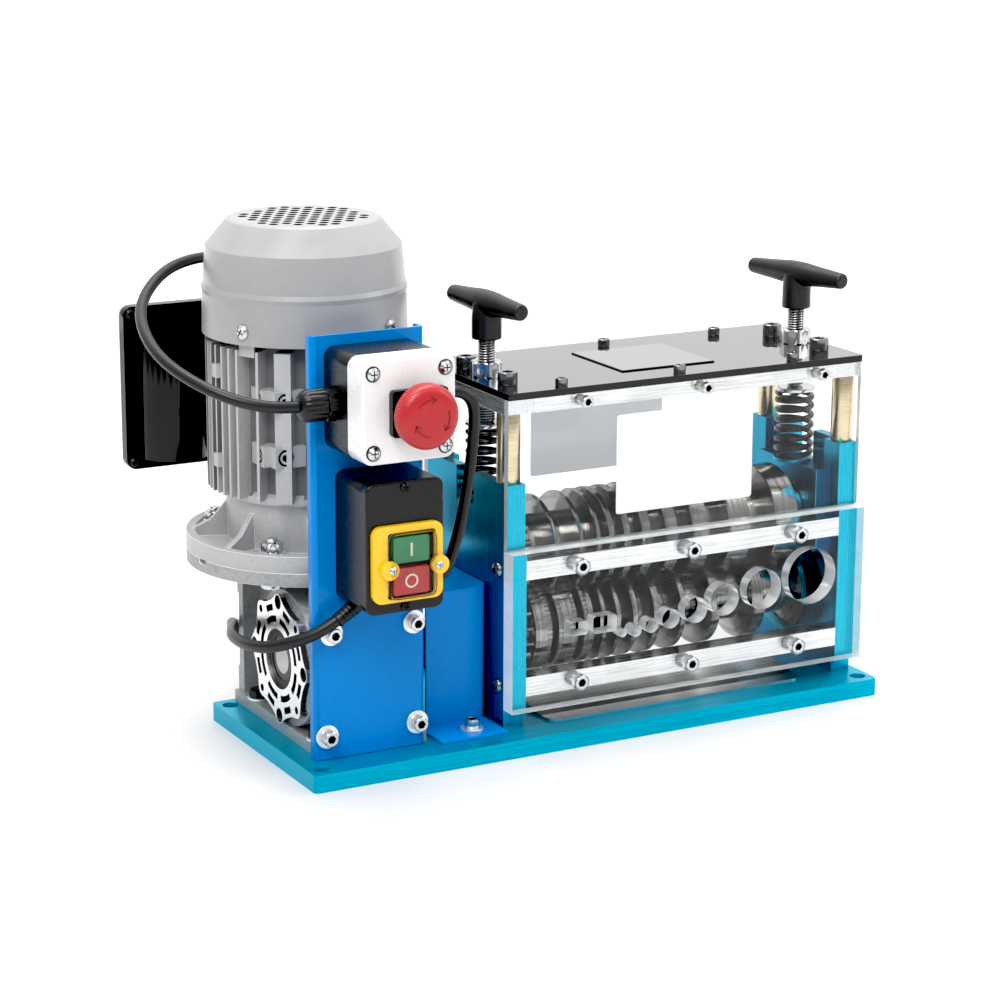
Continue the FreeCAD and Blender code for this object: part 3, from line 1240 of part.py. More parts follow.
def lead_exit():
    """Where the mains lead leaves the switch box, and its direction there."""
    start = LEAD_POINTS[0]
    return start, (LEAD_POINTS[1] - start).normalize()


def switch_cover():
    w = SWITCH_WALL
    outer = rounded(block(SWITCH_LEFT, SWITCH_RIGHT, SWITCH_FACE_Y, SWITCH_SEAM_Y, SWITCH_BOTTOM, SWITCH_TOP),
                    SWITCH_CORNER, Y)
    outer = softened(outer, 1.5, lambda p: abs(p.y - SWITCH_FACE_Y) < 0.01)
    inner = rounded(block(SWITCH_LEFT + w, SWITCH_RIGHT - w, SWITCH_FACE_Y + w, SWITCH_SEAM_Y + 1,
                          SWITCH_BOTTOM + w, SWITCH_TOP - w), SWITCH_CORNER - 1.5, Y)
    body = joined([outer.cut(inner)] + posts(SWITCH_SCREWS, 3.6, SWITCH_FACE_Y + 1, SWITCH_SEAM_Y))
    window = block(BUTTON_LEFT - PLAY, BUTTON_RIGHT + PLAY, SWITCH_FACE_Y - 1, SWITCH_FACE_Y + w + 1,
                   BUTTON_Z["red"][0] - PLAY, BUTTON_Z["green"][1] + PLAY)
    return cut_all(body, [rounded(window, 1.5, Y)] + screw_holes(switch_screws() + ear_screws()))


def switch_frame():
    x0, x1, z0, z1 = FRAME_EDGES
    y0 = SWITCH_FACE_Y - FRAME_THICK
    frame = rounded(block(x0, x1, y0, SWITCH_FACE_Y, z0, z1), 6.0, Y)
    a0, a1, b0, b1 = WINDOW_EDGES
    window = rounded(block(a0, a1, y0 - 1, SWITCH_FACE_Y + 1, b0, b1), 2.0, Y)
    ears = [disc(EAR_R, V(x, y0 - EAR_THICK, EAR_Z), Y, EAR_THICK) for x, _ in EARS]
    return cut_all(joined([frame.cut(window)] + ears), screw_holes(ear_screws()))


def push_button(colour):
    z0, z1 = BUTTON_Z[colour]
    y0 = SWITCH_FACE_Y - FRAME_THICK + BUTTON_SUNK
    cap = rounded(block(BUTTON_LEFT, BUTTON_RIGHT, y0, y0 + BUTTON_LENGTH, z0, z1), 1.5, Y)
    middle = (z0 + z1) / 2
    rear = SWITCH_SEAM_Y + CONTACTOR_DEPTH - BUTTON_TRAVEL - 0.5
    plunger = block(BUTTON_LEFT + 8, BUTTON_RIGHT - 8, y0 + 6, rear, middle - 4, middle + 4)
    return joined([cap, plunger])


# Cable glands
def gland(seat, out, cable_r, length):
    """Hexagon body and a domed nut that grips the cable."""
    body = prism(10.0, 6, seat, out, length * 0.35)
    nut = turned([(0, length * 0.35), (9.2, length * 0.35), (9.2, length * 0.75), (6.2, length), (0, length)],
                 seat, out)
    return joined([body, nut]).cut(disc(cable_r, seat, out, length))


def cable_glands():
    axis = stop_gland_axis()
    pieces = [gland(V(STOP_LEFT, axis.y, axis.z), -X, CABLE_R, 25.1),
              gland(V(STOP_RIGHT, axis.y, axis.z - 1), X, CABLE_R, 15.0),
              gland(tbox_gland_seat(), Z, CABLE_R, TBOX_GLAND_LENGTH)]
    start, way = lead_exit()
    bore = LEAD_R + RUN_CLEAR
    thick = LEAD_R + GROMMET_WALL
    pieces.append(turned([(bore, 0), (thick, 0), (thick, 8), (LEAD_SLEEVE_TIP_R, LEAD_SLEEVE_LENGTH),
                          (bore, LEAD_SLEEVE_LENGTH)], start + way, way))
    wall = V(SWITCH_RIGHT - SWITCH_WALL, SWITCH_CABLE_Y, SWITCH_CABLE_Z)
    pieces.append(ring(CABLE_R + GROMMET_WALL, CABLE_R + RUN_CLEAR, wall, X, SWITCH_WALL + 1.5))
    return pieces


# Cables
def arc_middle(start, corner, end):
    """The middle point of the arc that leaves start towards corner and arrives at end."""
    chord = end - start
    middle = (start + end) * 0.5
    rise = corner - middle
    half = math.atan2(rise.Length, chord.Length / 2)
    return middle + rise * (math.tan(half / 2) / math.tan(half))


def routed(name, points, radius):
    """A tube along straight runs joined by tangent arcs, as large as the runs allow."""
    edges = []
    last = points[0]
    tightest = 1e9
    for k in range(1, len(points) - 1):
        into = points[k] - points[k - 1]
        away = points[k + 1] - points[k]
        reach = 0.45 * min(into.Length, away.Length)
        turn = into.getAngle(away)
        tightest = min(tightest, reach / math.tan(turn / 2))
        start = points[k] - into.normalize() * reach
        end = points[k] + away.normalize() * reach
        edges.append(Part.LineSegment(last, start).toShape())
        edges.append(Part.Arc(start, arc_middle(start, points[k], end), end).toShape())
        last = end
    edges.append(Part.LineSegment(last, points[-1]).toShape())
    path = Part.Wire(edges)
    tube = swept(path, radius, points[0], points[1] - points[0])
    ideal = math.pi * radius ** 2 * path.Length
    print(f"{name}: length {path.Length:.0f}, tightest radius {tightest:.0f}, volume {tube.Volume / ideal:.4f}")
    return tube


def swept(path, radius, at, direction):
    circle = Part.Wire(Part.makeCircle(radius, at, direction))
    return path.makePipeShell([circle], True, False)


def wound(name, places, headings, radius):
    """A tube through places with the given headings, on two tangent arcs from place to place.

    It runs straight for one diameter at both ends."""
    start = places[0] - headings[0] * 2 * radius
    end = places[-1] + headings[-1] * 2 * radius
    edges = [Part.LineSegment(start, places[0]).toShape()]
    for k in range(len(places) - 1):
        p0, p1 = places[k], places[k + 1]
        t0, t1 = headings[k], headings[k + 1]
        v = p1 - p0
        t = t0 + t1
        spread = 2 * (1 - t0.dot(t1))
        reach = (-v.dot(t) + math.sqrt(v.dot(t) ** 2 + spread * v.dot(v))) / spread
        q0 = p0 + t0 * reach
        q1 = p1 - t1 * reach
        meet = (q0 + q1) * 0.5
        edges.append(Part.Arc(p0, arc_middle(p0, q0, meet), meet).toShape())
        edges.append(Part.Arc(meet, arc_middle(meet, q1, p1), p1).toShape())
    edges.append(Part.LineSegment(places[-1], end).toShape())
    path = Part.Wire(edges)
    tube = swept(path, radius, start, headings[0])
    ideal = math.pi * radius ** 2 * path.Length
    gap = least_gap(path, radius)
    print(f"{name}: length {path.Length:.0f}, least gap {gap:.2f}, volume {tube.Volume / ideal:.4f}")
    return tube


def least_gap(path, radius):
    """The least gap between the tube and itself, more than a few diameters apart along it."""
    count = int(path.Length / (radius * 0.8))
    step = path.Length / count
    points = path.discretize(count + 1)
    apart = int(radius * 7 / step)
    gap = 1e9
    for i in range(len(points)):
        for j in range(i + apart, len(points)):
            gap = min(gap, points[i].distanceToPoint(points[j]))
    return gap - 2 * radius


def spring(side):
    """Round wire wound between the seat on the block and the washer under the screw."""
    low = BLOCK_TOP + SEAT_THICK + WIRE_R
    high = WASHER_TOP - WASHER_THICK - WIRE_R
    quarters = SPRING_TURNS * 4
    axis = V(SCREW_X[side], 0, 0)
    inward = 0.0 if side == "left" else math.pi
    places = []
    headings = []
    for k in range(quarters + 1):
        angle = inward + k * math.pi / 2
        around = V(math.cos(angle), math.sin(angle), 0)
        places.append(axis + around * SPRING_MEAN_R + Z * spring_height(k / quarters, low, high))
        step = spring_height(k / quarters + 0.01, low, high) - spring_height(k / quarters - 0.01, low, high)
        forward = V(-math.sin(angle), math.cos(angle), 0) * (SPRING_MEAN_R * 2 * math.pi) * SPRING_TURNS * 0.02
        if k in (0, quarters):
            step = 0.0
        headings.append((forward + Z * step).normalize())
    return wound(side + " spring", places, headings, WIRE_R)


def spring_height(share, low, high):
    """The first and last turns lie close to their neighbours and the others share the rest."""
    turn = min(max(share, 0.0), 1.0) * SPRING_TURNS
    open_pitch = (high - low - 2 * CLOSED_PITCH) / (SPRING_TURNS - 2)
    if turn <= 1:
        return low + CLOSED_PITCH * turn
    if turn >= SPRING_TURNS - 1:
        return high - CLOSED_PITCH * (SPRING_TURNS - turn)
    return low + CLOSED_PITCH + open_pitch * (turn - 1)


def coil_radius(turn):
    """The coil spirals in through its lower layer and out again through its upper layer."""
    half = COIL_TURNS / 2
    inward = turn if turn < half else COIL_TURNS - turn
    return COIL_OUTER_R - COIL_STEP * inward


def coil_height(turn):
    """The climb from the lower to the upper layer takes the half turn where the spiral reverses."""
    low = LEAD_R
    progress = min(max((turn - COIL_TURNS / 2 + 0.25) / 0.5, 0.0), 1.0)
    return low + COIL_STEP * progress * progress * (3 - 2 * progress)


def coil_point(turn):
    angle = 2 * math.pi * turn - math.pi / 2
    around = V(math.cos(angle), math.sin(angle), 0)
    return COIL_CENTRE + around * coil_radius(turn) + Z * coil_height(turn)


def mains_coil():
    quarters = COIL_TURNS * 4
    places = [coil_point(k / 4) for k in range(quarters + 1)]
    headings = []
    for k in range(quarters + 1):
        turn = k / 4
        step = 0.01
        forward = coil_point(min(turn + step, COIL_TURNS)) - coil_point(max(turn - step, 0))
        headings.append(forward.normalize())
    return wound("mains coil", places, headings, LEAD_R)


def mains_cord():
    """From the switch box round the gearbox to the coil, and from the coil to the plug."""
    lead_in = (coil_point(0.01) - coil_point(0)).normalize()
    first = coil_point(0) - lead_in * 2 * LEAD_R
    points = LEAD_POINTS + [first - lead_in * 20, first]
    return [routed("mains cord", points, LEAD_R)]


def plug_start():
    last = coil_point(COIL_TURNS)
    way = (last - coil_point(COIL_TURNS - 0.01)).normalize()
    return last + way * 2 * LEAD_R, way


def mains_plug():
    """Moulded plug with a tapered strain relief and three pins, lying where the coil ends."""
    start, way = plug_start()
    length = RELIEF_LENGTH
    relief = turned([(0, 0), (LEAD_R + 0.05, 0), (6, length), (0, length)], start, way)
    body = turned([(0, length - 1), (8, length - 1), (start.z, length + 8), (start.z, length + PLUG_LENGTH),
                   (0, length + PLUG_LENGTH)], start, way)
    end = start + way * (length + PLUG_LENGTH)
    pins = []
    for y in (-6.3, 6.3):
        pins.append(block(end.x - 1, end.x + 16, end.y + y - 0.8, end.y + y + 0.8, end.z - 1, end.z + 5))
    pins.append(disc(2.4, end + V(-1, 0, -6), X, 19))
    return joined([relief, body] + pins)


# Rollers
def gear(teeth, bore, start, width, phase):
    """Spur gear on an axis along X; each flank is an arc through three points of the involute."""
    pitch_r = GEAR_MODULE * teeth / 2
    base_r = pitch_r * math.cos(math.radians(20))
    tip_r = pitch_r + GEAR_MODULE
    root_r = pitch_r - 1.25 * GEAR_MODULE
    involute = lambda angle: math.tan(angle) - angle
    half_pitch = math.pi / 2 / teeth - GEAR_BACKLASH / 2 / pitch_r

    def half_at(radius):
        return half_pitch + involute(math.radians(20)) - involute(math.acos(base_r / max(radius, base_r)))

    def at(radius, angle):
        return V(radius * math.cos(angle), radius * math.sin(angle), 0)

    edges = []
    mid_r = (base_r + tip_r) / 2
    for k in range(teeth):
        centre = phase + 2 * math.pi * k / teeth
        after = centre + 2 * math.pi / teeth
        foot = half_at(base_r)
        tip = half_at(tip_r)
        edges.append(Part.LineSegment(at(root_r, centre - foot), at(base_r, centre - foot)).toShape())
        edges.append(Part.Arc(at(base_r, centre - foot), at(mid_r, centre - half_at(mid_r)),
                              at(tip_r, centre - tip)).toShape())
        edges.append(Part.Arc(at(tip_r, centre - tip), at(tip_r, centre), at(tip_r, centre + tip)).toShape())
        edges.append(Part.Arc(at(tip_r, centre + tip), at(mid_r, centre + half_at(mid_r)),
                              at(base_r, centre + foot)).toShape())
        edges.append(Part.LineSegment(at(base_r, centre + foot), at(root_r, centre + foot)).toShape())
        edges.append(Part.Arc(at(root_r, centre + foot), at(root_r, centre + math.pi / teeth),
                              at(root_r, after - foot)).toShape())
    body = Part.Face(Part.Wire(edges)).extrude(Z * width).cut(disc(bore, V(), Z, width))
    return placed(body, start, X)


def drive_shaft():
    left = WORM_X - BOX_HALF - 3.5
    right = RIGHT_OUT - 1.0
    return disc(SHAFT_R, V(left, 0, ROLLER_AXIS_Z), X, right - left)


def drive_gear():
    return gear(GEAR_TEETH, SHAFT_R, V(ROLLER_START, 0, ROLLER_AXIS_Z), GEAR_WIDTH, 0.0)


def driven_gear():
    phase = math.pi / GEAR_TEETH
    return gear(GEAR_TEETH, SHAFT_R, V(ROLLER_START, 0, CUTTER_AXIS_Z), GEAR_WIDTH, phase)


def groove_bottom():
    return CUTTER_AXIS_Z - ROLLER_AXIS_Z - CUTTER_R - NIP_CLEAR


def cutter_places():
    """Middle, thickness and the groove's half width at the rim, for each cutter disc."""
    places = []
    for x0, x1, _, _ in SLOTS:
        places.append(((x0 + x1) / 2 + SLOT_CUTTER_SHIFT, SLOT_CUTTER_THICK, 2.6))
    for x, _, _, half in CHANNELS:
        thick = 2 * (half * 0.62) - GROOVE_SIDE_CLEAR
        places.append((x, thick, half))
    return places


def feed_rollers():
    """Knurled rings and grooved discs, stacked on the shaft and split in the middle of each groove."""
    places = cutter_places()
    floor = groove_bottom()
    start = ROLLER_START + GEAR_WIDTH + 1.0
    edges = [start] + [p[0] for p in places] + [ROLLER_END]
    pieces = []
    for k in range(len(edges) - 1):
        x0, x1 = edges[k], edges[k + 1]
        profile = [(SHAFT_R, x0)]
        if k:
            _, thick, half = places[k - 1]
            bed = thick / 2 + GROOVE_SIDE_CLEAR
            profile += [(floor, x0), (floor, x0 + bed), (FEED_R, x0 + max(half, bed))]
        else:
            profile += [(FEED_R, x0)]
        if k < len(places):
            _, thick, half = places[k]
            bed = thick / 2 + GROOVE_SIDE_CLEAR
            profile += [(FEED_R, x1 - max(half, bed)), (floor, x1 - bed), (floor, x1)]
        else:
            profile += [(FEED_R, x1)]
        profile += [(SHAFT_R, x1)]
        roller = turned(profile, V(0, 0, ROLLER_AXIS_Z), X)
        pieces.append(knurled(roller, k, edges, places))
    return pieces


def knurled(roller, index, edges, places):
    """The rollers beside the two slots have a toothed band at each groove."""
    if index > 2:
        return roller
    tools = []
    for k in (index - 1, index):
        if 0 <= k < 2:
            middle, _, half = places[k]
            x = middle + half if k == index - 1 else middle - half - KNURL_WIDTH
            notch = disc(0.7, V(x, 0, ROLLER_AXIS_Z) + turned_point(FEED_R + 0.1, 0), X, KNURL_WIDTH)
            tools += spun(notch, 60, V(x, 0, ROLLER_AXIS_Z), X)
    return cut_all(roller, tools)


def cutter_rollers():
    """Thick cutter discs with spacers between them, an end roller and a light end disc."""
    pieces = []
    spacer_r = CUTTER_AXIS_Z - ROLLER_AXIS_Z - FEED_R - RIM_CLEAR
    previous = ROLLER_START + GEAR_WIDTH + 1.0
    axis = V(0, 0, CUTTER_AXIS_Z)
    for middle, thick, _ in cutter_places():
        start = middle - thick / 2
        pieces.append(ring(spacer_r, SHAFT_R, axis + X * previous, X, start - previous))
        bevel = min(0.8, thick / 4)
        profile = [(SHAFT_R, start), (CUTTER_R - bevel, start), (CUTTER_R, start + bevel),
                   (CUTTER_R, start + thick - bevel), (CUTTER_R - bevel, start + thick), (SHAFT_R, start + thick)]
        pieces.append(turned(profile, axis, X))
        previous = start + thick
    end_disc = ROLLER_END - END_DISC_THICK
    pieces.append(ring(spacer_r, SHAFT_R, axis + X * previous, X, end_disc - previous))
    pieces.append(ring(END_DISC_R, SHAFT_R, axis + X * end_disc, X, END_DISC_THICK))
    return pieces


def cutter_shaft():
    left = LEFT_OUT + RECESS_DEPTH
    right = RIGHT_OUT - RECESS_DEPTH
    return disc(SHAFT_R, V(left + 0.5, 0, CUTTER_AXIS_Z), X, right - left - 1)


def bearing_blocks():
    """T-shaped blocks: a tongue in the narrow slot and a wide body in the recess, with spring seats."""
    pieces = []
    bottom = CUTTER_AXIS_Z - BLOCK_BELOW_AXIS
    wide = RECESS_WIDTH / 2 - SLIDE_CLEAR
    narrow = SLOT_WIDTH / 2 - SLIDE_CLEAR
    for side in ("left", "right"):
        sign = 1 if side == "left" else -1
        face = LEFT_OUT if side == "left" else RIGHT_OUT
        tongue_x = sorted((face, face + sign * (PLATE_THICK - RECESS_DEPTH + SLIDE_CLEAR)))
        body_x = sorted((face + sign * (PLATE_THICK - RECESS_DEPTH + SLIDE_CLEAR),
                         face + sign * (PLATE_THICK + BLOCK_PROUD)))
        tongue = block(tongue_x[0], tongue_x[1], -narrow, narrow, bottom, BLOCK_TOP)
        body = block(body_x[0], body_x[1], -wide, wide, bottom, BLOCK_TOP)
        start = V(block_bearing_x(side), 0, CUTTER_AXIS_Z)
        room = disc(BEARING_R, start, X, BEARING_WIDTH)
        way = disc(SHAFT_R + 1.5, V(body_x[0] - 1, 0, CUTTER_AXIS_Z), X, body_x[1] - body_x[0] + 2)
        pieces.append(cut_all(joined([tongue, body]), [room, way]))
        pieces.append(disc(SEAT_R, V(SCREW_X[side], 0, BLOCK_TOP), Z, SEAT_THICK))
    return pieces


def block_bearing_x(side):
    """The bearing sits flush with the block's inner face."""
    if side == "left":
        return LEFT_IN + BLOCK_PROUD - BEARING_WIDTH
    return RIGHT_IN - BLOCK_PROUD


def block_bearings():
    pieces = []
    for side in ("left", "right"):
        start = V(block_bearing_x(side), 0, CUTTER_AXIS_Z)
        pieces += bearing(SHAFT_R + RUN_CLEAR, BEARING_R, BEARING_WIDTH, start, X)
    return pieces


# Pressure screws
def t_screw(side):
    """Threaded rod with a spigot through the washer, and the T handle moulded on its top."""
    x = SCREW_X[side]
    hub_top = BAR_AXIS_Z - 4
    tip = WASHER_TOP - WASHER_THICK - 4
    rod = turned([(0, tip), (SPIGOT_R - 0.05, tip), (SPIGOT_R - 0.05, WASHER_TOP), (SCREW_R, WASHER_TOP),
                  (SCREW_R, hub_top), (0, hub_top)], V(x, 0, 0), Z)
    hub = turned([(SCREW_R, HUB_BOTTOM), (HUB_R, HUB_BOTTOM), (HUB_R, HUB_BOTTOM + 14), (HUB_R - 2, BAR_AXIS_Z),
                  (0, BAR_AXIS_Z), (0, hub_top), (SCREW_R, hub_top)], V(x, 0, 0), Z)
    e, m, h = HANDLE_END_R, HANDLE_MIDDLE_R, HANDLE_HALF
    bar = turned([(0, -h), (e - 1.5, -h), (e, -h + 1.5), (m - 1.2, -12), (m, -4), (m, 4), (m - 1.2, 12),
                  (e, h - 1.5), (e - 1.5, h), (0, h)], V(), Z)
    turn = math.radians(HANDLE_TURN[side])
    along = V(math.sin(turn), -math.cos(turn), 0)
    bar = placed(bar, V(x, 0, BAR_AXIS_Z), along)
    rod_room = disc(SCREW_R, V(x, 0, HUB_BOTTOM), Z, hub_top - HUB_BOTTOM)
    return [rod, joined([hub, bar]).cut(rod_room)]


def screw_washer(side):
    start = V(SCREW_X[side], 0, WASHER_TOP - WASHER_THICK)
    return ring(WASHER_R, SPIGOT_R, start, Z, WASHER_THICK)


def main():
    os.makedirs("parts", exist_ok=True)
    save("base_plate", [base_plate()])
    save("left_end_plate", [end_plate("left")])
    save("right_end_plate", [end_plate("right")])
    save("guide_rods", guide_rods())
    save("cap_blocks", [cap_block("left"), cap_block("right")])
    save("top_cover", [top_cover()])
    save("tie_bars", tie_bars())
    save("upper_shields", upper_shields())
    save("guide_panel", [guide_panel()])
    save("frame_screws", frame_screws())
    save("chute", [chute()])
    save("coupling_guard", [coupling_guard()])
    save("control_bracket", [control_bracket()])
    save("mounting_bolts", mounting_bolts())
    save("gearbox_housing", [gearbox_housing()])
    save("gearbox_covers", [gearbox_cover("left"), gearbox_cover("right")])
    save("output_seals", output_seals())
    save("gearbox_flange", [gearbox_flange()])
    save("worm_wheel", [worm_wheel()])
    save("worm", [worm()])
    save("shaft_bearings", shaft_bearings())
    save("motor_flange", [motor_flange()])
    save("motor_housing", [motor_housing()])
    save("motor_stator", motor_stator())
    save("motor_rotor", [motor_rotor()])
    save("motor_fan", [motor_fan()])
    save("fan_cover", [fan_cover()])
    save("terminal_box", terminal_box())
    save("electrical_parts", electrical_parts())
    save("cover_screws", cover_screws())
    save("estop_base", [stop_base()])
    save("estop_lid", [stop_lid()])
    save("estop_actuator", stop_actuator())
    save("estop_stem", [stop_stem()])
    save("estop_head", [stop_head()])
    save("switch_box", [switch_box()])
    save("switch_cover", [switch_cover()])
    save("switch_frame", [switch_frame()])
    save("green_button", [push_button("green")])
    save("red_button", [push_button("red")])
    save("cable_glands", cable_glands())
    save("motor_cable", [routed("motor cable", MOTOR_CABLE_POINTS, CABLE_R)])
    save("switch_cable", [routed("switch cable", SWITCH_CABLE_POINTS, CABLE_R)])
    save("mains_cord", mains_cord())
    save("mains_coil", [mains_coil()])
    save("mains_plug", [mains_plug()])
    save("drive_shaft", [drive_shaft()])
    save("drive_gear", [drive_gear()])
    save("feed_rollers", feed_rollers())
    save("cutter_shaft", [cutter_shaft()])
    save("driven_gear", [driven_gear()])
    save("cutter_rollers", cutter_rollers())
    save("bearing_blocks", bearing_blocks())
    save("block_bearings", block_bearings())
    for side in ("left", "right"):
        save(side + "_t_screw", t_screw(side))
        save(side + "_washer", [screw_washer(side)])
        save(side + "_spring", [spring(side)])


main()
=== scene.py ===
import math

import bpy
from mathutils import Matrix, Vector


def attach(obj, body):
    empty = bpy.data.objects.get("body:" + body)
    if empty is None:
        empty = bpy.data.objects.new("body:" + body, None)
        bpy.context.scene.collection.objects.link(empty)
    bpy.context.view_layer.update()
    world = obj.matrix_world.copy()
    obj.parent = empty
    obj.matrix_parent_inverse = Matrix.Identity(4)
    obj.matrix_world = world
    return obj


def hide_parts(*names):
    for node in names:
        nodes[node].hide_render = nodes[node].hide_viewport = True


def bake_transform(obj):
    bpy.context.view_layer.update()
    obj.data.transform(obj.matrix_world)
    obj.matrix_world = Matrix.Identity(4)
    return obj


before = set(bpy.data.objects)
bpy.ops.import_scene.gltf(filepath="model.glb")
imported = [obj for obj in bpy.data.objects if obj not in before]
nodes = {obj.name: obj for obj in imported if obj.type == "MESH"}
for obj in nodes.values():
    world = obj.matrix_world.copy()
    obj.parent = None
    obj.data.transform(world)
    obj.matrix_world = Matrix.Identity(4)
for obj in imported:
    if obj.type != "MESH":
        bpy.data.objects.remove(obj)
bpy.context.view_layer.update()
MM = 0.001


# Camera: it stands in front and to the left of the machine and looks a little down on it.
# The lens is long, so that the base and the top cover stay nearly parallel.
CAMERA_PLACE = Vector((-0.92758, -1.64131, 0.63075))
CAMERA_TURN = math.radians(28.43)
CAMERA_DOWN = math.radians(14.41)
CAMERA_ROLL = math.radians(0.23)
CAMERA_LENS = 103.92

ahead = Vector((math.sin(CAMERA_TURN) * math.cos(CAMERA_DOWN),
                math.cos(CAMERA_TURN) * math.cos(CAMERA_DOWN),
                -math.sin(CAMERA_DOWN)))
level = Vector((math.cos(CAMERA_TURN), -math.sin(CAMERA_TURN), 0))
upright = level.cross(ahead)
camera_right = math.cos(CAMERA_ROLL) * level + math.sin(CAMERA_ROLL) * upright
camera_up = -math.sin(CAMERA_ROLL) * level + math.cos(CAMERA_ROLL) * upright
camera_data = bpy.data.cameras.new("camera")
camera_data.lens = CAMERA_LENS
camera_data.sensor_width = 36.0
camera_data.clip_start = 0.05
camera_data.clip_end = 50.0
camera = bpy.data.objects.new("camera", camera_data)
bpy.context.scene.collection.objects.link(camera)
camera_axes = Matrix((camera_right, camera_up, -ahead)).transposed().to_4x4()
camera.matrix_world = Matrix.Translation(CAMERA_PLACE) @ camera_axes
bpy.context.scene.camera = camera


# Mains lead: black rubber cable of 7.8 mm from the switch box round the gearbox's foot. The length
# that isn't seen lies behind the gearbox in a round coil of two layers, held by a strap.
LEAD_R = 3.9
LEAD_RUN = [
    (-174, -67.9, 118.4), (-190, -69.5, 108.5), (-206, -66, 98.8), (-219, -57, 92.8), (-228, -42, 87),
    (-231.8, -24, 83.8), (-231.5, -6, 81.8), (-228.5, 12, 80), (-222.4, 28, 77.5), (-214.5, 45, 74.5),
    (-208, 60, 71.5), (-203.4, 72, 69), (-199, 83, 66), (-190, 91, 60), (-178, 95.5, 49), (-167, 98, 35.5),
    (-157, 100, 22.5), (-146, 101.5, 11.5),
]
COIL_MIDDLE = Vector((-104.0, 152.0, 0.0))
COIL_OUTER = 50.0
COIL_STEP = 8.8
COIL_TURNS = 5
POINTS_A_TURN = 16
CURVE_CUTS_IN = 1.012
TURNS_OF_THE_CLIMB = 0.5
LEAD_IN = (26, 9)
LEAD_OUT = (9, 20)


def fitted_node(tree, kind, sockets):
    """A new node of a material, with the values of its sockets."""
    node = tree.nodes.new(kind)
    for socket, value in sockets.items():
        node.inputs[socket].default_value = value
    return node


def surface(name, colour, metal=0.0, rough=(0.35, 0.45), stretch=300, tint=0.08, relief=0.02,
            patches=9.0, coat=0.0, coat_rough=0.05, clear=0.0, seed=0.0, own=None):
    """A finish whose grain is noise, stretched as the tool or the brush has left it. Relief is the
    grain's height in millimetres; own holds the shader's sockets that only this finish sets."""
    material = bpy.data.materials.new(name)
    material.use_nodes = True
    tree = material.node_tree
    shader = tree.nodes["Principled BSDF"]
    sockets = {"Metallic": metal, "Coat Weight": coat, "Coat Roughness": coat_rough,
               "Transmission Weight": clear}
    sockets.update(own or {})
    for socket, value in sockets.items():
        shader.inputs[socket].default_value = value
    if not isinstance(stretch, tuple):
        stretch = (stretch, stretch, stretch)
    place = tree.nodes.new("ShaderNodeTexCoord")
    scale = fitted_node(tree, "ShaderNodeMapping",
                        {"Scale": stretch, "Location": (seed, seed * 0.7, seed * 0.3)})
    grain = fitted_node(tree, "ShaderNodeTexNoise", {"Scale": 1.0, "Detail": 5.0, "Roughness": 0.6})
    patch = fitted_node(tree, "ShaderNodeTexNoise", {"Scale": patches, "Detail": 3.0})
    both = fitted_node(tree, "ShaderNodeMath", {1: 0.35})
    both.operation = "MULTIPLY_ADD"
    shades = tree.nodes.new("ShaderNodeValToRGB")
    dark, light = shades.color_ramp.elements
    dark.position = 0.42
    dark.color = [max(c * (1 - tint), 0.0) for c in colour] + [1]
    light.position = 0.92
    light.color = [min(c * (1 + tint), 1.0) for c in colour] + [1]
    polish = fitted_node(tree, "ShaderNodeMapRange",
                         {"From Min": 0.3, "From Max": 0.7, "To Min": rough[0], "To Max": rough[1]})
    bump = fitted_node(tree, "ShaderNodeBump", {"Strength": 1.0, "Distance": relief * MM})
    link = tree.links.new
    link(place.outputs["Object"], scale.inputs["Vector"])
    link(scale.outputs["Vector"], grain.inputs["Vector"])
    link(place.outputs["Object"], patch.inputs["Vector"])
    link(patch.outputs["Fac"], both.inputs[0])
    link(grain.outputs["Fac"], both.inputs[2])
    link(both.outputs["Value"], shades.inputs["Fac"])
    link(shades.outputs["Color"], shader.inputs["Base Color"])
    link(grain.outputs["Fac"], polish.inputs["Value"])
    link(polish.outputs["Result"], shader.inputs["Roughness"])
    link(grain.outputs["Fac"], bump.inputs["Height"])
    link(bump.outputs["Normal"], shader.inputs["Normal"])
    return material


def cable(name, route, radius, material):
    """A round cable on one smooth curve along its route, in millimetres."""
    data = bpy.data.curves.new(name, "CURVE")
    data.dimensions = "3D"
    data.bevel_depth = radius * MM
    data.bevel_resolution = 5
    data.resolution_u = 10
    data.use_fill_caps = True
    line = data.splines.new("NURBS")
    line.points.add(len(route) - 1)
    for point, place in zip(line.points, route):
        point.co = (place[0] * MM, place[1] * MM, place[2] * MM, 1)
    line.order_u = 3
    line.use_endpoint_u = True
    data.materials.append(material)
    piece = bpy.data.objects.new(name, data)
    bpy.context.scene.collection.objects.link(piece)
    return piece


def coil_place(turns):
    """A point of the coil: in through its lower layer and out again through its upper layer."""
    half = COIL_TURNS / 2
    inward = turns if turns < half else COIL_TURNS - turns
    climbed = min(max((turns - half) / TURNS_OF_THE_CLIMB + 0.5, 0.0), 1.0)
    angle = 2 * math.pi * turns - math.pi / 2
    reach = (COIL_OUTER - COIL_STEP * inward) * CURVE_CUTS_IN
    height = LEAD_R + COIL_STEP * climbed * climbed * (3 - 2 * climbed)
    return COIL_MIDDLE + Vector((math.cos(angle) * reach, math.sin(angle) * reach, height))


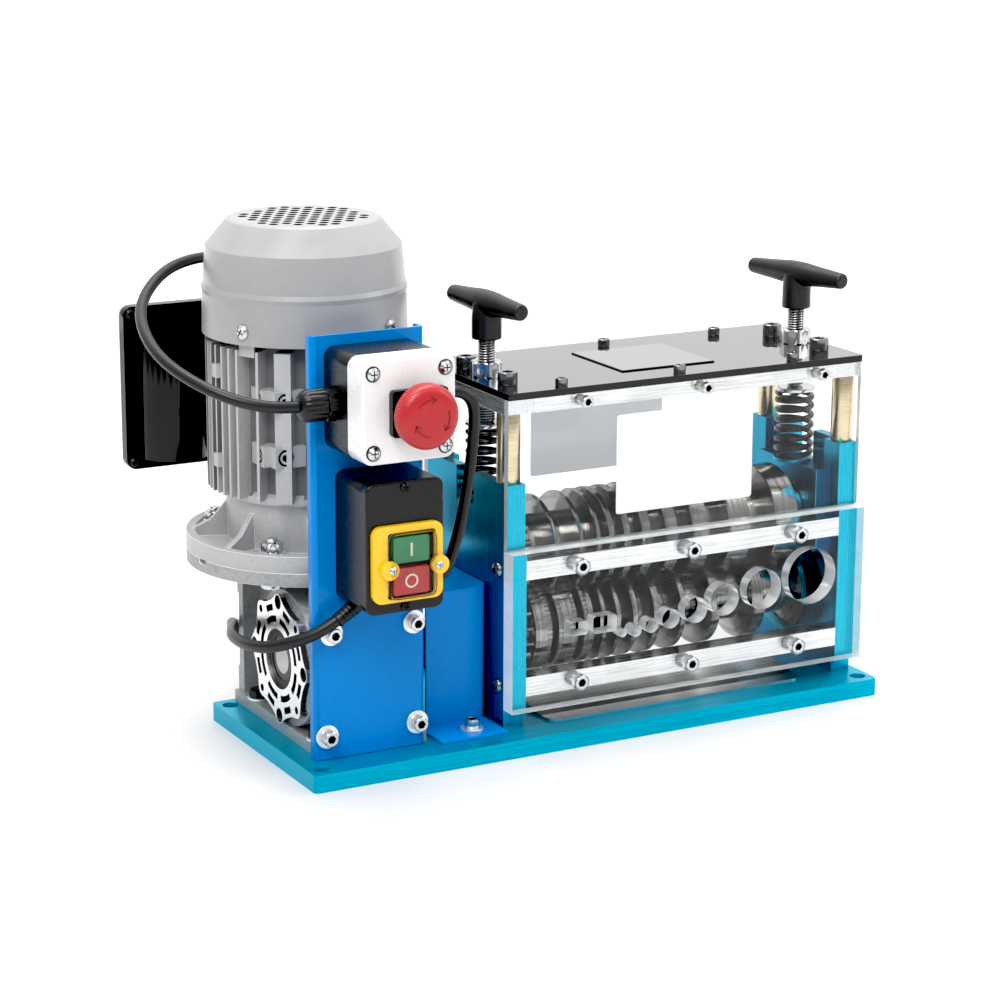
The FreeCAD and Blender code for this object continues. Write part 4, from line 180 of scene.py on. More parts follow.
cable_rubber = surface("cable rubber", (0.006, 0.006, 0.0065), rough=(0.3, 0.42), stretch=900, tint=0.25,
                       relief=0.02)
coil_start = coil_place(0)
coil_end = coil_place(COIL_TURNS)
lead_in = (coil_place(0.01) - coil_start).normalized()
lead_out = (coil_end - coil_place(COIL_TURNS - 0.01)).normalized()
lead_route = [Vector(p) for p in LEAD_RUN]
lead_route += [coil_start - lead_in * before for before in LEAD_IN]
lead_route += [coil_place(k / POINTS_A_TURN) for k in range(COIL_TURNS * POINTS_A_TURN + 1)]
lead_route += [coil_end + lead_out * after for after in LEAD_OUT]
mains_lead = cable("mains_lead", lead_route, LEAD_R, cable_rubber)
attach(mains_lead, "frame")
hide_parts("mains_cord", "mains_coil")


# Lead's sleeve: a tapered rubber moulding with ring grooves, fixed in the switch box's wall. It keeps
# the lead from a sharp bend where it leaves the box.
SLEEVE_FROM_EXIT = 0.8
SLEEVE_LENGTH = 21.2
SLEEVE_RADII = (5.5, 4.6)
CABLE_BORE = LEAD_R + 0.05


def lathe(outline, at, along, steps=48, swell=None):
    """Points and faces of a turned shape. The outline holds (radius, height) in millimetres."""
    way = Vector(along).normalized()
    face = way.to_track_quat("Z", "Y")
    points = []
    rows = []
    for row, (radius, height) in enumerate(outline):
        if radius < 1e-6:
            rows.append([len(points)])
            points.append(Vector(at) + face @ Vector((0, 0, height)))
            continue
        ring = []
        for k in range(steps):
            angle = 2 * math.pi * k / steps
            r = radius + (swell(angle, height, row) if swell else 0.0)
            ring.append(len(points))
            points.append(Vector(at) + face @ Vector((r * math.cos(angle), r * math.sin(angle), height)))
        rows.append(ring)
    faces = []
    for low, high in zip(rows, rows[1:]):
        for k in range(steps):
            n = (k + 1) % steps
            if len(low) == 1 and len(high) > 1:
                faces.append((low[0], high[n], high[k]))
            elif len(high) == 1 and len(low) > 1:
                faces.append((low[k], low[n], high[0]))
            elif len(low) > 1:
                faces.append((low[k], low[n], high[n], high[k]))
    return points, faces


def build(name, parts, materials, sharp=32.0):
    """One mesh out of several (points, faces) shapes, each with its material from the list."""
    points = []
    faces = []
    finish_of = []
    for number, (some_points, some_faces) in enumerate(parts):
        first = len(points)
        points += [tuple(p * MM) for p in some_points]
        faces += [tuple(first + k for k in face) for face in some_faces]
        finish_of += [min(number, len(materials) - 1)] * len(some_faces)
    mesh = bpy.data.meshes.new(name)
    mesh.from_pydata(points, [], faces)
    for material in materials:
        mesh.materials.append(material)
    mesh.polygons.foreach_set("material_index", finish_of)
    mesh.polygons.foreach_set("use_smooth", [True] * len(faces))
    mesh.update()
    mesh.set_sharp_from_angle(angle=math.radians(sharp))
    piece = bpy.data.objects.new(name, mesh)
    bpy.context.scene.collection.objects.link(piece)
    return piece


def ribbed_sleeve(start, way, length, r_start, r_end):
    """A tapered rubber sleeve with ring grooves, hollow for the lead."""
    rib_apart = 3.4
    groove_deep = 0.55
    outline = [(CABLE_BORE, 0.0), (r_start - 0.6, 0.0), (r_start, 0.6)]
    count = int(length / rib_apart)
    for k in range(count):
        h = 2.5 + k * (length - 4.0) / count
        r = r_start + (r_end - r_start) * h / length
        outline += [(r, h), (r - groove_deep, h + 0.35), (r - groove_deep, h + 1.25), (r, h + 1.6)]
    outline += [(r_end, length - 0.5), (r_end - 0.4, length), (CABLE_BORE, length)]
    return lathe(outline, start, way, 40)


lead_start = Vector(LEAD_RUN[0])
lead_way = (Vector(LEAD_RUN[1]) - lead_start).normalized()
sleeve_shape = ribbed_sleeve(lead_start + lead_way * SLEEVE_FROM_EXIT, lead_way, SLEEVE_LENGTH, *SLEEVE_RADII)
lead_sleeve = build("lead_sleeve", [sleeve_shape], [cable_rubber])
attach(lead_sleeve, "frame")


# Mains plug: a moulded rubber body with a ribbed sleeve of its own, a round earth pin and two flat
# blades of brass. It ends the lead, and lies on the floor beside the coil.
PLUG_FROM_COIL = 7.8
PLUG_SLEEVE = 34.0
PLUG_SLEEVE_RADII = (5.0, 5.9)
EARTH_PIN_DROP = 6.0
BLADE_RISE = 2.0
BLADE_ASIDE = 6.3


def boxed(outline, at, way, sides):
    """A moulded body with rounded oblong sections: (half width, half height, place along the way)."""
    face = Vector(way).normalized().to_track_quat("Z", "Y")
    points = []
    steps = len(sides)
    for half_width, half_height, along in outline:
        for c, s in sides:
            points.append(Vector(at) + face @ Vector((half_width * c, half_height * s, along)))
    faces = []
    for row in range(len(outline) - 1):
        for k in range(steps):
            n = (k + 1) % steps
            a = row * steps
            b = a + steps
            faces.append((a + k, a + n, b + n, b + k))
    faces.append(tuple(reversed(range(steps))))
    faces.append(tuple((len(outline) - 1) * steps + k for k in range(steps)))
    return points, faces


def oblong(power, steps=40):
    """Points round a section between a circle (power 1) and a rounded oblong (power below 1)."""
    ring = []
    for k in range(steps):
        angle = 2 * math.pi * k / steps
        c, s = math.cos(angle), math.sin(angle)
        ring.append((math.copysign(abs(c) ** power, c), math.copysign(abs(s) ** power, s)))
    return ring


plug_at = coil_end + lead_out * PLUG_FROM_COIL
plug_side = lead_out.cross(Vector((0, 0, 1))).normalized()
body_rows = [(4.6, 4.6, 33), (7.4, 7.4, 33.4), (8.4, 8.4, 35), (10.6, 10.2, 39), (12.0, 11.8, 44),
             (12.3, 12.2, 50), (12.3, 12.2, 61.5), (11.8, 11.7, 63.4), (11.2, 11.1, 64)]
pin_rows = [(2.1, 2.1, 62), (2.35, 2.35, 62.3), (2.35, 2.35, 78), (2.1, 2.1, 79.2), (1.2, 1.2, 80)]
blade_rows = [(0.75, 2.9, 62), (0.8, 3.0, 62.4), (0.8, 3.0, 78.4), (0.4, 2.2, 79.6)]
plug_parts = [
    ribbed_sleeve(plug_at, lead_out, PLUG_SLEEVE, *PLUG_SLEEVE_RADII),
    boxed(body_rows, plug_at, lead_out, oblong(0.8)),
    boxed(pin_rows, plug_at - Vector((0, 0, EARTH_PIN_DROP)), lead_out, oblong(1.0, 20)),
]
for aside in (BLADE_ASIDE, -BLADE_ASIDE):
    blade_at = plug_at + plug_side * aside + Vector((0, 0, BLADE_RISE))
    plug_parts.append(boxed(blade_rows, blade_at, lead_out, oblong(0.5, 20)))
pin_metal = surface("plug pins", (0.75, 0.68, 0.48), metal=1.0, rough=(0.18, 0.3), stretch=(80, 2500, 2500),
                    relief=0.004)
plug_rubber = surface("plug moulding", (0.016, 0.016, 0.017), rough=(0.42, 0.6), stretch=1600, tint=0.2,
                      relief=0.03)
plug = build("mains_plug", plug_parts, [plug_rubber, plug_rubber, pin_metal], sharp=40)
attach(plug, "frame")
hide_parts("mains_plug")


# Coil strap: a woven band that goes through the coil's eye and round all of its turns, on the side
# that faces away from the lead. Its inner face is held just off the floor by the outer one.
STRAP_OUT = Vector((-1, 0, 0))
STRAP_ACROSS = Vector((0, -1, 0))
STRAP_REACH = 38.0
STRAP_RISE = 8.9
STRAP_HALF_LONG = 17.6
STRAP_HALF_HIGH = 8.3
STRAP_WIDTH = 11.0
STRAP_THICK = 1.1


def strap_round_coil():
    """Rings at both rims of the band's inner face and of its outer face, and the faces between."""
    middle = COIL_MIDDLE + STRAP_OUT * STRAP_REACH + Vector((0, 0, STRAP_RISE))
    points = []
    for grow, lowest in ((0.0, 0.25), (STRAP_THICK, 0.0)):
        for rim in (-STRAP_WIDTH / 2, STRAP_WIDTH / 2):
            for c, s in oblong(0.62, 64):
                point = middle + STRAP_OUT * ((STRAP_HALF_LONG + grow) * c) + STRAP_ACROSS * rim
                point.z = max(middle.z + (STRAP_HALF_HIGH + grow) * s, lowest)
                points.append(point)
    faces = []
    n = len(points) // 4
    for k in range(n):
        j = (k + 1) % n
        faces.append((k, j, n + j, n + k))
        faces.append((2 * n + k, 3 * n + k, 3 * n + j, 2 * n + j))
        faces.append((k, 2 * n + k, 2 * n + j, j))
        faces.append((n + k, n + j, 3 * n + j, 3 * n + k))
    return points, faces


strap_weave = surface("strap weave", (0.02, 0.02, 0.022), rough=(0.75, 0.95), stretch=2600, tint=0.5,
                      relief=0.12)
coil_strap = build("coil_strap", [strap_round_coil()], [strap_weave])
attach(coil_strap, "frame")


# Motor cable: black rubber cable of 7.4 mm from the stop button to the motor's terminal box. It leaves
# the gland at the left, swings out past the motor and comes down into the gland on top of the box.
CABLE_R = 3.7
MOTOR_CABLE_RUN = [
    (-215, -75, 248), (-219.5, -75, 248), (-238, -75, 249.5), (-254, -69, 253), (-268.5, -57, 259),
    (-279, -38, 266), (-284, -14, 273), (-283, 11, 281), (-278, 34, 289), (-268, 55, 297), (-252, 74, 305),
    (-235, 89, 310), (-218, 101, 311.5), (-203, 111, 311), (-192.5, 119.7, 309), (-182.5, 128.2, 303.6),
    (-174.6, 134.9, 295.6), (-170, 139, 286.1), (-170, 139, 276), (-170, 139, 268),
]
motor_cable = cable("motor_cable", MOTOR_CABLE_RUN, CABLE_R, cable_rubber)
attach(motor_cable, "frame")
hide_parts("motor_cable")


# Switch cable: the same cable from the stop button down to the switch box, along the bracket's edge.
# A gland holds its upper end and a grommet its lower one.
SWITCH_CABLE_RUN = [
    (-121, -75, 247), (-116.2, -75, 247), (-110, -75, 247), (-104.3, -75, 244.6), (-100, -75, 240),
    (-98.1, -75, 232.5), (-98.4, -75, 220), (-100.4, -75, 202), (-103.8, -75, 181), (-108.4, -75.3, 160),
    (-113.5, -75.7, 144.5), (-117.9, -76, 133.8), (-122.4, -76, 129.7), (-128, -76, 127.5),
    (-136, -76, 127.5),
]
switch_cable = cable("switch_cable", SWITCH_CABLE_RUN, CABLE_R, cable_rubber)
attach(switch_cable, "frame")
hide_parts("switch_cable")


# Base plate: 12 mm aluminium, brushed along its length and anodised blue, with rounded corners and
# four holes for the bench. It carries everything else.
def dress(name, material, edge=0.0, edge_material=None, segments=2):
    """Gives a node its finish and, where asked, softened edges with a finish of their own."""
    piece = nodes[name]
    mesh = piece.data
    mesh.materials.clear()
    mesh.materials.append(material)
    if edge_material:
        mesh.materials.append(edge_material)
    mesh.polygons.foreach_set("material_index", [0] * len(mesh.polygons))
    if edge > 0:
        weld = piece.modifiers.new("closed seams", "WELD")
        weld.merge_threshold = 1e-6
        flat = piece.modifiers.new("flat faces", "DECIMATE")
        flat.decimate_type = "DISSOLVE"
        flat.angle_limit = math.radians(0.4)
        soft = piece.modifiers.new("soft edges", "BEVEL")
        soft.width = edge * MM
        soft.segments = segments
        soft.limit_method = "ANGLE"
        soft.angle_limit = math.radians(30.0)
        soft.use_clamp_overlap = True
        soft.harden_normals = True
        soft.miter_outer = "MITER_ARC"
        if edge_material:
            soft.material = 1


base_blue = surface("blue anodised base", (0.002, 0.385, 0.56), metal=0.65, rough=(0.24, 0.4),
                    stretch=(9, 1500, 1500), tint=0.22, relief=0.006, patches=12,
                    own={"Specular IOR Level": 0.1})
edge_blue = surface("blue anodised edge", (0.05, 0.50, 0.66), metal=1.0, rough=(0.2, 0.3),
                    stretch=(40, 900, 900), tint=0.1, relief=0.003)
dress("base_plate", base_blue, 0.5, edge_blue)


# End plates: 15 mm aluminium, milled and brushed upright before anodising. Screws from below hold
# them, and each has a guide for its sliding bearing block. Their faces towards the front and the back
# get a lighter copy of the blue: painted light.
plate_blue = surface("blue anodised plate", (0.0, 0.27, 0.43), metal=1.0, rough=(0.24, 0.4),
                     stretch=(1500, 1500, 10), tint=0.22, relief=0.006, patches=14, seed=1.3)
# A lighter copy of the plate's blue: painted light on the faces towards the front and the back.
front_blue_painted_light = surface("blue anodised plate edge, lightened as painted light", (0.0, 0.44, 0.62), metal=1.0, rough=(0.2, 0.34),
                     stretch=(1500, 1500, 10), tint=0.1, relief=0.004, seed=2.1)


def paint_faces(name, finishes, pick):
    """Gives each face the finish whose number is picked by the face's middle and its normal."""
    mesh = nodes[name].data
    mesh.materials.clear()
    for finish in finishes:
        mesh.materials.append(finish)
    chosen = [int(pick(f.center / MM, f.normal)) for f in mesh.polygons]
    mesh.polygons.foreach_set("material_index", chosen)


for name in ("left_end_plate", "right_end_plate"):
    dress(name, plate_blue, 0.4, edge_blue)
    paint_faces(name, (plate_blue, edge_blue, front_blue_painted_light), lambda p, n: 2 if abs(n.y) > 0.9 else 0)


# Guide rods: four round steel bars with a bright yellow zinc finish. They stand on the end plates
# and carry the cap blocks.
rod_zinc = surface("yellow zinc rods", (0.72, 0.60, 0.40), metal=1.0, rough=(0.16, 0.28),
                   stretch=(60, 60, 1800), tint=0.16, relief=0.004, patches=45)
dress("guide_rods", rod_zinc, 0.25)


# Cap blocks: sawn and milled aluminium, one over each end plate. They sit on the guide rods under
# the top cover, and the pressure screws pass through them.
milled_aluminium = surface("milled aluminium", (0.80, 0.81, 0.82), metal=1.0, rough=(0.2, 0.42),
                           stretch=(420, 30, 1700), tint=0.12, relief=0.01, patches=22)
bright_edge = surface("bright edge", (0.88, 0.89, 0.90), metal=1.0, rough=(0.12, 0.22), stretch=200,
                      tint=0.05, relief=0.002)
dress("cap_blocks", milled_aluminium, 0.35, bright_edge)


# Tie bars: drawn aluminium bars between the two ends, with the marks of the saw and the mill. The
# shields and the guide panel are screwed to them.
bar_aluminium = surface("drawn aluminium bars", (0.74, 0.745, 0.75), metal=1.0, rough=(0.12, 0.3),
                        stretch=(26, 1500, 1500), tint=0.3, relief=0.008, patches=35, seed=0.4)
dress("tie_bars", bar_aluminium, 0.4, bright_edge)


# Top cover: a sheet of glossy black acrylic with sawn edges, screwed to the cap blocks and to the
# upper tie bars. Only its upper face is polished.
cover_black = surface("black acrylic", (0.006, 0.006, 0.006), rough=(0.02, 0.05), stretch=60, tint=0.2,
                      relief=0.0, patches=4, coat=0.75, coat_rough=0.01, own={"IOR": 2.0})
cover_edge = surface("edge of the black acrylic", (0.004, 0.004, 0.004), rough=(0.2, 0.3), relief=0.002)
dress("top_cover", cover_edge, 0.4)
paint_faces("top_cover", (cover_edge, cover_black), lambda p, n: n.z > 0.9)


# Plate on the top cover: a thin metal sheet, brushed and lacquered, on a black backing with bevelled
# edges. It is glued to the middle of the cover.
TOP_Z = 237.2
PLATE_SIDES = (35.5, 107.5, -32.0, 36.0)
PLATE_MARGIN = 0.5


def slab(x0, x1, y0, y1, z0, z1, soft=0.3):
    """A flat piece with bevelled edges on all sides."""
    points = []
    for z, inset in ((z0, soft), (z0 + soft, 0.0), (z1 - soft, 0.0), (z1, soft)):
        points += [Vector((x0 + inset, y0 + inset, z)), Vector((x1 - inset, y0 + inset, z)),
                   Vector((x1 - inset, y1 - inset, z)), Vector((x0 + inset, y1 - inset, z))]
    faces = [(3, 2, 1, 0), (12, 13, 14, 15)]
    for row in range(3):
        for k in range(4):
            n = (k + 1) % 4
            faces.append((row * 4 + k, row * 4 + n, row * 4 + 4 + n, row * 4 + 4 + k))
    return points, faces


x0, x1, y0, y1 = PLATE_SIDES
plate_backing = slab(x0, x1, y0, y1, TOP_Z, TOP_Z + 0.9, 0.15)
plate_face = slab(x0 + PLATE_MARGIN, x1 - PLATE_MARGIN, y0 + PLATE_MARGIN, y1 - PLATE_MARGIN,
                  TOP_Z + 0.85, TOP_Z + 1.0, 0.05)
sheet_grey = surface("brushed plate face", (0.05, 0.051, 0.053), rough=(0.05, 0.1),
                     stretch=(12, 1400, 1400), tint=0.2, relief=0.001, coat=1.0, coat_rough=0.02,
                     own={"IOR": 2.2})
sheet_edge = surface("plate edge", (0.006, 0.006, 0.006), rough=(0.3, 0.4))
data_plate = build("data_plate", [plate_backing, plate_face], [sheet_edge, sheet_grey])
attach(data_plate, "frame")


# Upper shields: clear acrylic sheets of 5 mm in front of and behind the cutter shaft, sawn and
# polished on their edges and screwed to the upper tie bars.
acrylic = surface("clear acrylic", (0.985, 0.995, 0.995), rough=(0.0, 0.003), stretch=35, tint=0.01,
                  relief=0.0, patches=3, clear=1.0, own={"IOR": 1.3})
sawn_acrylic = surface("sawn acrylic edge", (0.90, 0.96, 0.98), rough=(0.10, 0.3), stretch=(900, 60, 60),
                       tint=0.1, relief=0.03, patches=60, clear=0.45, coat=0.5)


def air_gap(name):
    """Draws a clear piece in by a hair, so that air lies between it and what it is screwed to."""
    weld = nodes[name].modifiers.new("closed seams", "WELD")
    weld.merge_threshold = 1e-6
    gap = nodes[name].modifiers.new("air gap", "DISPLACE")
    gap.strength = -0.03 * MM
    gap.mid_level = 0.0


paint_faces("upper_shields", (acrylic, sawn_acrylic), lambda p, n: abs(n.y) < 0.5)
air_gap("upper_shields")


# Plain labels: white self-adhesive sheets with round corners, stuck to the outside of both shields.
# Their grey backs show through the clear acrylic, with a faint painted glow.
LABEL_SIDES = (15.5, 121.5, 148.5, 215.5)
LABEL_CORNER = 2.0
LABEL_FACE = 0.16
LABEL_BACK = 0.01
FRONT_SHIELD_Y = -59.5
REAR_SHIELD_Y = 59.5


def label_sheet(x0, x1, z0, z1, y, out):
    """Two shapes: the outer side with its rim, and the back."""
    ring = []
    r = LABEL_CORNER
    corners = ((x1 - r, z1 - r), (x0 + r, z1 - r), (x0 + r, z0 + r), (x1 - r, z0 + r))
    for start, (cx, cz) in zip((0, 90, 180, 270), corners):
        for k in range(6):
            angle = math.radians(start + 18 * k)
            ring.append((cx + r * math.cos(angle), cz + r * math.sin(angle)))
    n = len(ring)
    near = [Vector((x, y + out * LABEL_FACE, z)) for x, z in ring]
    far = [Vector((x, y + out * LABEL_BACK, z)) for x, z in ring]
    order = tuple(range(n))
    face = order if out < 0 else tuple(reversed(order))
    rim = [(k, n + k, n + (k + 1) % n, (k + 1) % n) for k in range(n)]
    if out > 0:
        rim = [tuple(reversed(f)) for f in rim]
    return (near + far, [face] + rim), (far, [tuple(reversed(face))])


label_white = surface("white label", (0.79, 0.79, 0.79), rough=(0.3, 0.42), stretch=500, tint=0.02,
                      relief=0.001)
# Painted light: the grey backs glow a little.
label_back_painted_glow = surface("label's grey back with painted glow", (0.62, 0.63, 0.64), rough=(0.5, 0.6), tint=0.05, relief=0.004,
                     own={"Emission Color": (0.95, 0.97, 1.0, 1.0), "Emission Strength": 0.4})
for tag, y, out in (("front", FRONT_SHIELD_Y, -1), ("rear", REAR_SHIELD_Y, 1)):
    label = build(tag + "_label", label_sheet(*LABEL_SIDES, y, out), [label_white, label_back_painted_glow])
    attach(label, "frame")


# Guide panel: clear acrylic of 12.5 mm with sawn edges, screwed to the lower tie bars. Its polished
# slots and holes lead each wire to its groove. The sawn edges, slots and holes carry a faint
# painted glow.
PANEL_SIDES = (-64.5, 209.5, 25.0, 131.0)
# Painted light: the sawn edges and the bores glow a little in this pale blue.
PANEL_PAINTED_GLOW = (0.88, 0.96, 1.0, 1.0)
cut_acrylic = surface("cut acrylic with painted glow", (0.93, 0.97, 0.98), metal=0.25, rough=(0.03, 0.14),
                      stretch=(90, 20, 90), tint=0.25, relief=0.12, patches=90, clear=0.15, coat=0.6,
                      own={"Emission Color": PANEL_PAINTED_GLOW, "Emission Strength": 0.22})
bored_acrylic = surface("polished bores with painted glow", (0.95, 0.98, 0.99), metal=0.45, rough=(0.01, 0.06),
                        stretch=(90, 20, 90), tint=0.2, relief=0.15, patches=90, clear=0.1, coat=1.0,
                        own={"Emission Color": PANEL_PAINTED_GLOW, "Emission Strength": 0.12})


def panel_finish(p, n):
    """Clear faces, sawn outer edges, polished slots and holes; the edges and the bores get a painted glow."""
    if abs(n.y) > 0.5:
        return 0
    left, right, bottom, top = PANEL_SIDES
    return 2 if left < p.x < right and bottom < p.z < top else 1


paint_faces("guide_panel", (acrylic, cut_acrylic, bored_acrylic), panel_finish)
air_gap("guide_panel")


# Screws of the roller head: steel cap screws with knurled heads in the top cover, the shields and the
# panel, plain ones under the base, and button heads at the bars' ends. Two fixed nuts stand on the
# cover, round the pressure screws.
NEGATIVE_Y = (0, -1, 0)
UP = (0, 0, 1)
LEFT_SCREW_X = -49.5
RIGHT_SCREW_X = 194.5
CAP_SCREW_Y = 29.0
COVER_SCREW_X = (-21.0, 69.0, 159.0)
COVER_SCREW_Y = 49.75
SHIELD_SCREW_X = (-9.0, 83.0, 176.0)
SHIELD_SCREW_Z = 227.5
PANEL_SCREW_X = (-13.0, 73.0, 159.0)
PANEL_FACE_Y = -61.5
BAR_Z = (38.5, 118.0)
BAR_SCREW_Y = -47.0
END_FACES = ((-65.5, (-1, 0, 0)), (210.5, (1, 0, 0)))
BASE_SCREW_X = (-58.0, 203.0)
BASE_SCREW_Y = 35.425
BASE_SEAT_Z = 6.5
FIXED_NUT = {"flats": 19.0, "high": 10.0, "bore": 6.0}


def hexagon(apothem, angle):
    """Distance from the middle to a hexagon's side."""
    return apothem / math.cos((angle % (math.pi / 3)) - math.pi / 6)


def socket_head(seat, out, r, shank, knurl=0):
    """Cap screw: round head with a hexagon socket, knurled where ridges are asked, and its shank."""
    head, high, key = r * 1.65, r * 2.0, r * 0.83
    rows = [(0.0, high * 0.45), (key * 0.5, high * 0.45), (key, high * 0.47), (key, high - 0.25),
            (key + 0.3, high), (head - 0.55, high), (head - 0.1, high - 0.4), (head, high - 0.9), (head, 0.5),
            (head - 0.25, 0.0), (r, 0.0), (r, -shank), (0.0, -shank)]

    def swell(angle, height, row):
        if row in (1, 2, 3):
            return hexagon(rows[row][0], angle) - rows[row][0]
        if row in (7, 8) and knurl:
            return -0.16 * (0.5 + 0.5 * math.cos(angle * knurl))
        return 0.0

    return lathe(rows, seat, out, 144 if knurl else 60, swell)


def socket_shade_lining(seat, out, r):
    """Thin dark lining of a cap screw's hexagon socket: painted shade in it."""
    high, key = r * 2.0, r * 0.83
    rows = [(0.0, high * 0.49), (key - 0.16, high * 0.49), (key - 0.16, high - 0.3), (key - 0.05, high - 0.3),
            (key - 0.05, high * 0.48), (0.0, high * 0.48)]

    def swell(angle, height, row):
        return hexagon(rows[row][0], angle) - rows[row][0] if 1 <= row <= 4 else 0.0

    return lathe(rows, seat, out, 60, swell)


def cap_screw(heads, shade_linings, seat, out, r, shank, knurl):
    """Adds a cap screw to its group, and the dark lining of its socket, painted shade, to the other list."""
    heads.append(socket_head(seat, out, r, shank, knurl))
    shade_linings.append(socket_shade_lining(seat, out, r))


def button_head(seat, out, r, shank):
    """Low domed screw with a hexagon socket."""
    head, high, key = r * 1.75, r * 1.1, r * 0.66
    rows = [(0.0, high * 0.4), (key, high * 0.42), (key, high - 0.1), (key + 0.25, high),
            (head * 0.62, high * 0.93), (head * 0.82, high * 0.74), (head * 0.95, high * 0.46),
            (head, high * 0.22), (head, 0.0), (r, 0.0), (r, -shank), (0.0, -shank)]

    def swell(angle, height, row):
        return hexagon(key, angle) - key if row in (1, 2) else 0.0

    return lathe(rows, seat, out, 60, swell)


def hex_head(seat, out, flats, high, bore=0.0, shank=0.0, turned_by=0.0):
    """Hexagon head or nut, with its corners turned off on both sides."""
    corner = flats / 2 / math.cos(math.pi / 6)
    drop = (corner - flats / 2) * 0.55
    rows = [(flats / 2, 0.0), (corner, drop), (corner, high - drop), (flats / 2 * 0.98, high)]
    if bore:
        rows = [(bore, 0.6), (bore + 0.5, 0.0)] + rows + [(bore + 0.7, high), (bore, high - 0.6), (bore, 0.6)]
    else:
        rows = [(0.0, -shank), (flats * 0.3, -shank), (flats * 0.3, 0.0)] + rows + [(0.0, high)]

    def swell(angle, height, row):
        radius = rows[row][0]
        if radius < flats / 2 * 0.9:
            return 0.0
        return min(hexagon(flats / 2, angle + turned_by), radius) - radius

    return lathe(rows, seat, out, 120, swell)


def gathered(shapes):
    """Several shapes as one."""
    points = []
    faces = []
    for some_points, some_faces in shapes:
        first = len(points)
        points += some_points
        faces += [tuple(first + k for k in face) for face in some_faces]
    return points, faces


dark_heads = []
bright_heads = []
shade_linings = []
for x in (LEFT_SCREW_X, RIGHT_SCREW_X):
    for y in (-CAP_SCREW_Y, CAP_SCREW_Y):
        cap_screw(dark_heads, shade_linings, (x, y, TOP_Z), UP, 4.0, 13.7, 44)
for x in COVER_SCREW_X:
    for y in (-COVER_SCREW_Y, COVER_SCREW_Y):
        cap_screw(dark_heads, shade_linings, (x, y, TOP_Z), UP, 2.5, 12.5, 32)
for x in SHIELD_SCREW_X:
    cap_screw(bright_heads, shade_linings, (x, FRONT_SHIELD_Y, SHIELD_SCREW_Z), NEGATIVE_Y, 2.5, 13.0, 32)
    cap_screw(bright_heads, shade_linings, (x, REAR_SHIELD_Y, SHIELD_SCREW_Z), (0, 1, 0), 2.5, 13.0, 32)
for x in PANEL_SCREW_X:
    for z in BAR_Z:
        cap_screw(bright_heads, shade_linings, (x, PANEL_FACE_Y, z), NEGATIVE_Y, 3.0, 18.0, 36)
for x, out in END_FACES:
    for z in BAR_Z:
        dark_heads.append(button_head((x, BAR_SCREW_Y, z), out, 3.0, 27.0))
for x in BASE_SCREW_X:
    for y in (-BASE_SCREW_Y, BASE_SCREW_Y):
        bright_heads.append(socket_head((x, y, BASE_SEAT_Z), (0, 0, -1), 3.0, 22.0))
for x in (LEFT_SCREW_X, RIGHT_SCREW_X):
    bright_heads.append(hex_head((x, 0, TOP_Z), UP, **FIXED_NUT, turned_by=math.radians(-12)))
zinc_screw = surface("bright zinc screws", (0.60, 0.61, 0.62), metal=1.0, rough=(0.1, 0.2), stretch=900,
                     tint=0.06, relief=0.0006, patches=160)
oxide_screw = surface("dark cap screws", (0.24, 0.24, 0.25), metal=1.0, rough=(0.12, 0.22), stretch=900,
                      tint=0.1, relief=0.0008, patches=160)
# Painted shade: near black for the screws' sockets and cross recesses and the lugs' holes.
recess_painted_shade = surface("painted shade in recesses", (0.01, 0.01, 0.01), rough=(0.5, 0.6), relief=0.002)
head_screws = build("roller_head_screws", [gathered(dark_heads), gathered(bright_heads), gathered(shade_linings)],
                    [oxide_screw, zinc_screw, recess_painted_shade])
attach(head_screws, "frame")
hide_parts("frame_screws")


# Chute: one bent sheet of bright steel with a flat lip on the base, a slope under the rollers and a
# foot at the rear. The cut jackets slide down on it.
chute_sheet = surface("chute sheet", (0.62, 0.62, 0.63), metal=1.0, rough=(0.22, 0.4), stretch=(14, 900, 900),
                      tint=0.12, relief=0.006)
dress("chute", chute_sheet)


# Gearbox: cast aluminium housing and input flange, blasted and left grey, with painted highlights on
# the edges. The housing stands on a foot with four bolts.
cast_grey = surface("blasted casting", (0.36, 0.365, 0.37), metal=0.35, rough=(0.42, 0.6), stretch=420,
                    tint=0.22, relief=0.06, patches=40)
# Painted highlights: a light grey on the bevels of the casting's edges.
cast_painted_highlight = surface("painted highlights on the casting's edges", (0.78, 0.785, 0.79), metal=0.3, rough=(0.3, 0.45), relief=0.01)
dress("gearbox_housing", cast_grey, 0.45, cast_painted_highlight)
dress("gearbox_flange", cast_grey, 0.5, cast_painted_highlight)


# Output covers: die cast aluminium stars with machined rims, screwed to both sides of the housing.
# Windows lie between their arms, round the black rubber seals of the output hub. Their floors and
# walls carry painted shade.
GEARBOX_X = -161.0
SHAFT_AXIS_Z = 64.0
COVER_DEPTHS = (37.0, 40.9)
WINDOW_RADII = (23.0, 43.0)
WINDOW_FLOOR_R = 42.0
machined_cover = surface("machined covers", (0.82, 0.83, 0.84), metal=1.0, rough=(0.22, 0.4), stretch=900,
                         tint=0.14, relief=0.015, patches=60)
window_painted_shade = surface("painted shade in the windows", (0.03, 0.03, 0.032), metal=0.2, rough=(0.5, 0.7), relief=0.02)
seal_rubber = surface("seal rubber", (0.008, 0.008, 0.008), rough=(0.45, 0.6), stretch=700, relief=0.02)


def in_window(p, n):
    """Floors and walls of the cover's windows and bolt holes, which get painted shade."""
    out = abs(p.x - GEARBOX_X)
    reach = math.hypot(p.y, p.z - SHAFT_AXIS_Z)
    within = COVER_DEPTHS[0] < out < COVER_DEPTHS[1] and WINDOW_RADII[0] < reach < WINDOW_RADII[1]
    return within and (abs(n.x) > 0.5 or reach < WINDOW_FLOOR_R)


paint_faces("gearbox_covers", (machined_cover, window_painted_shade), in_window)
dress("output_seals", seal_rubber)


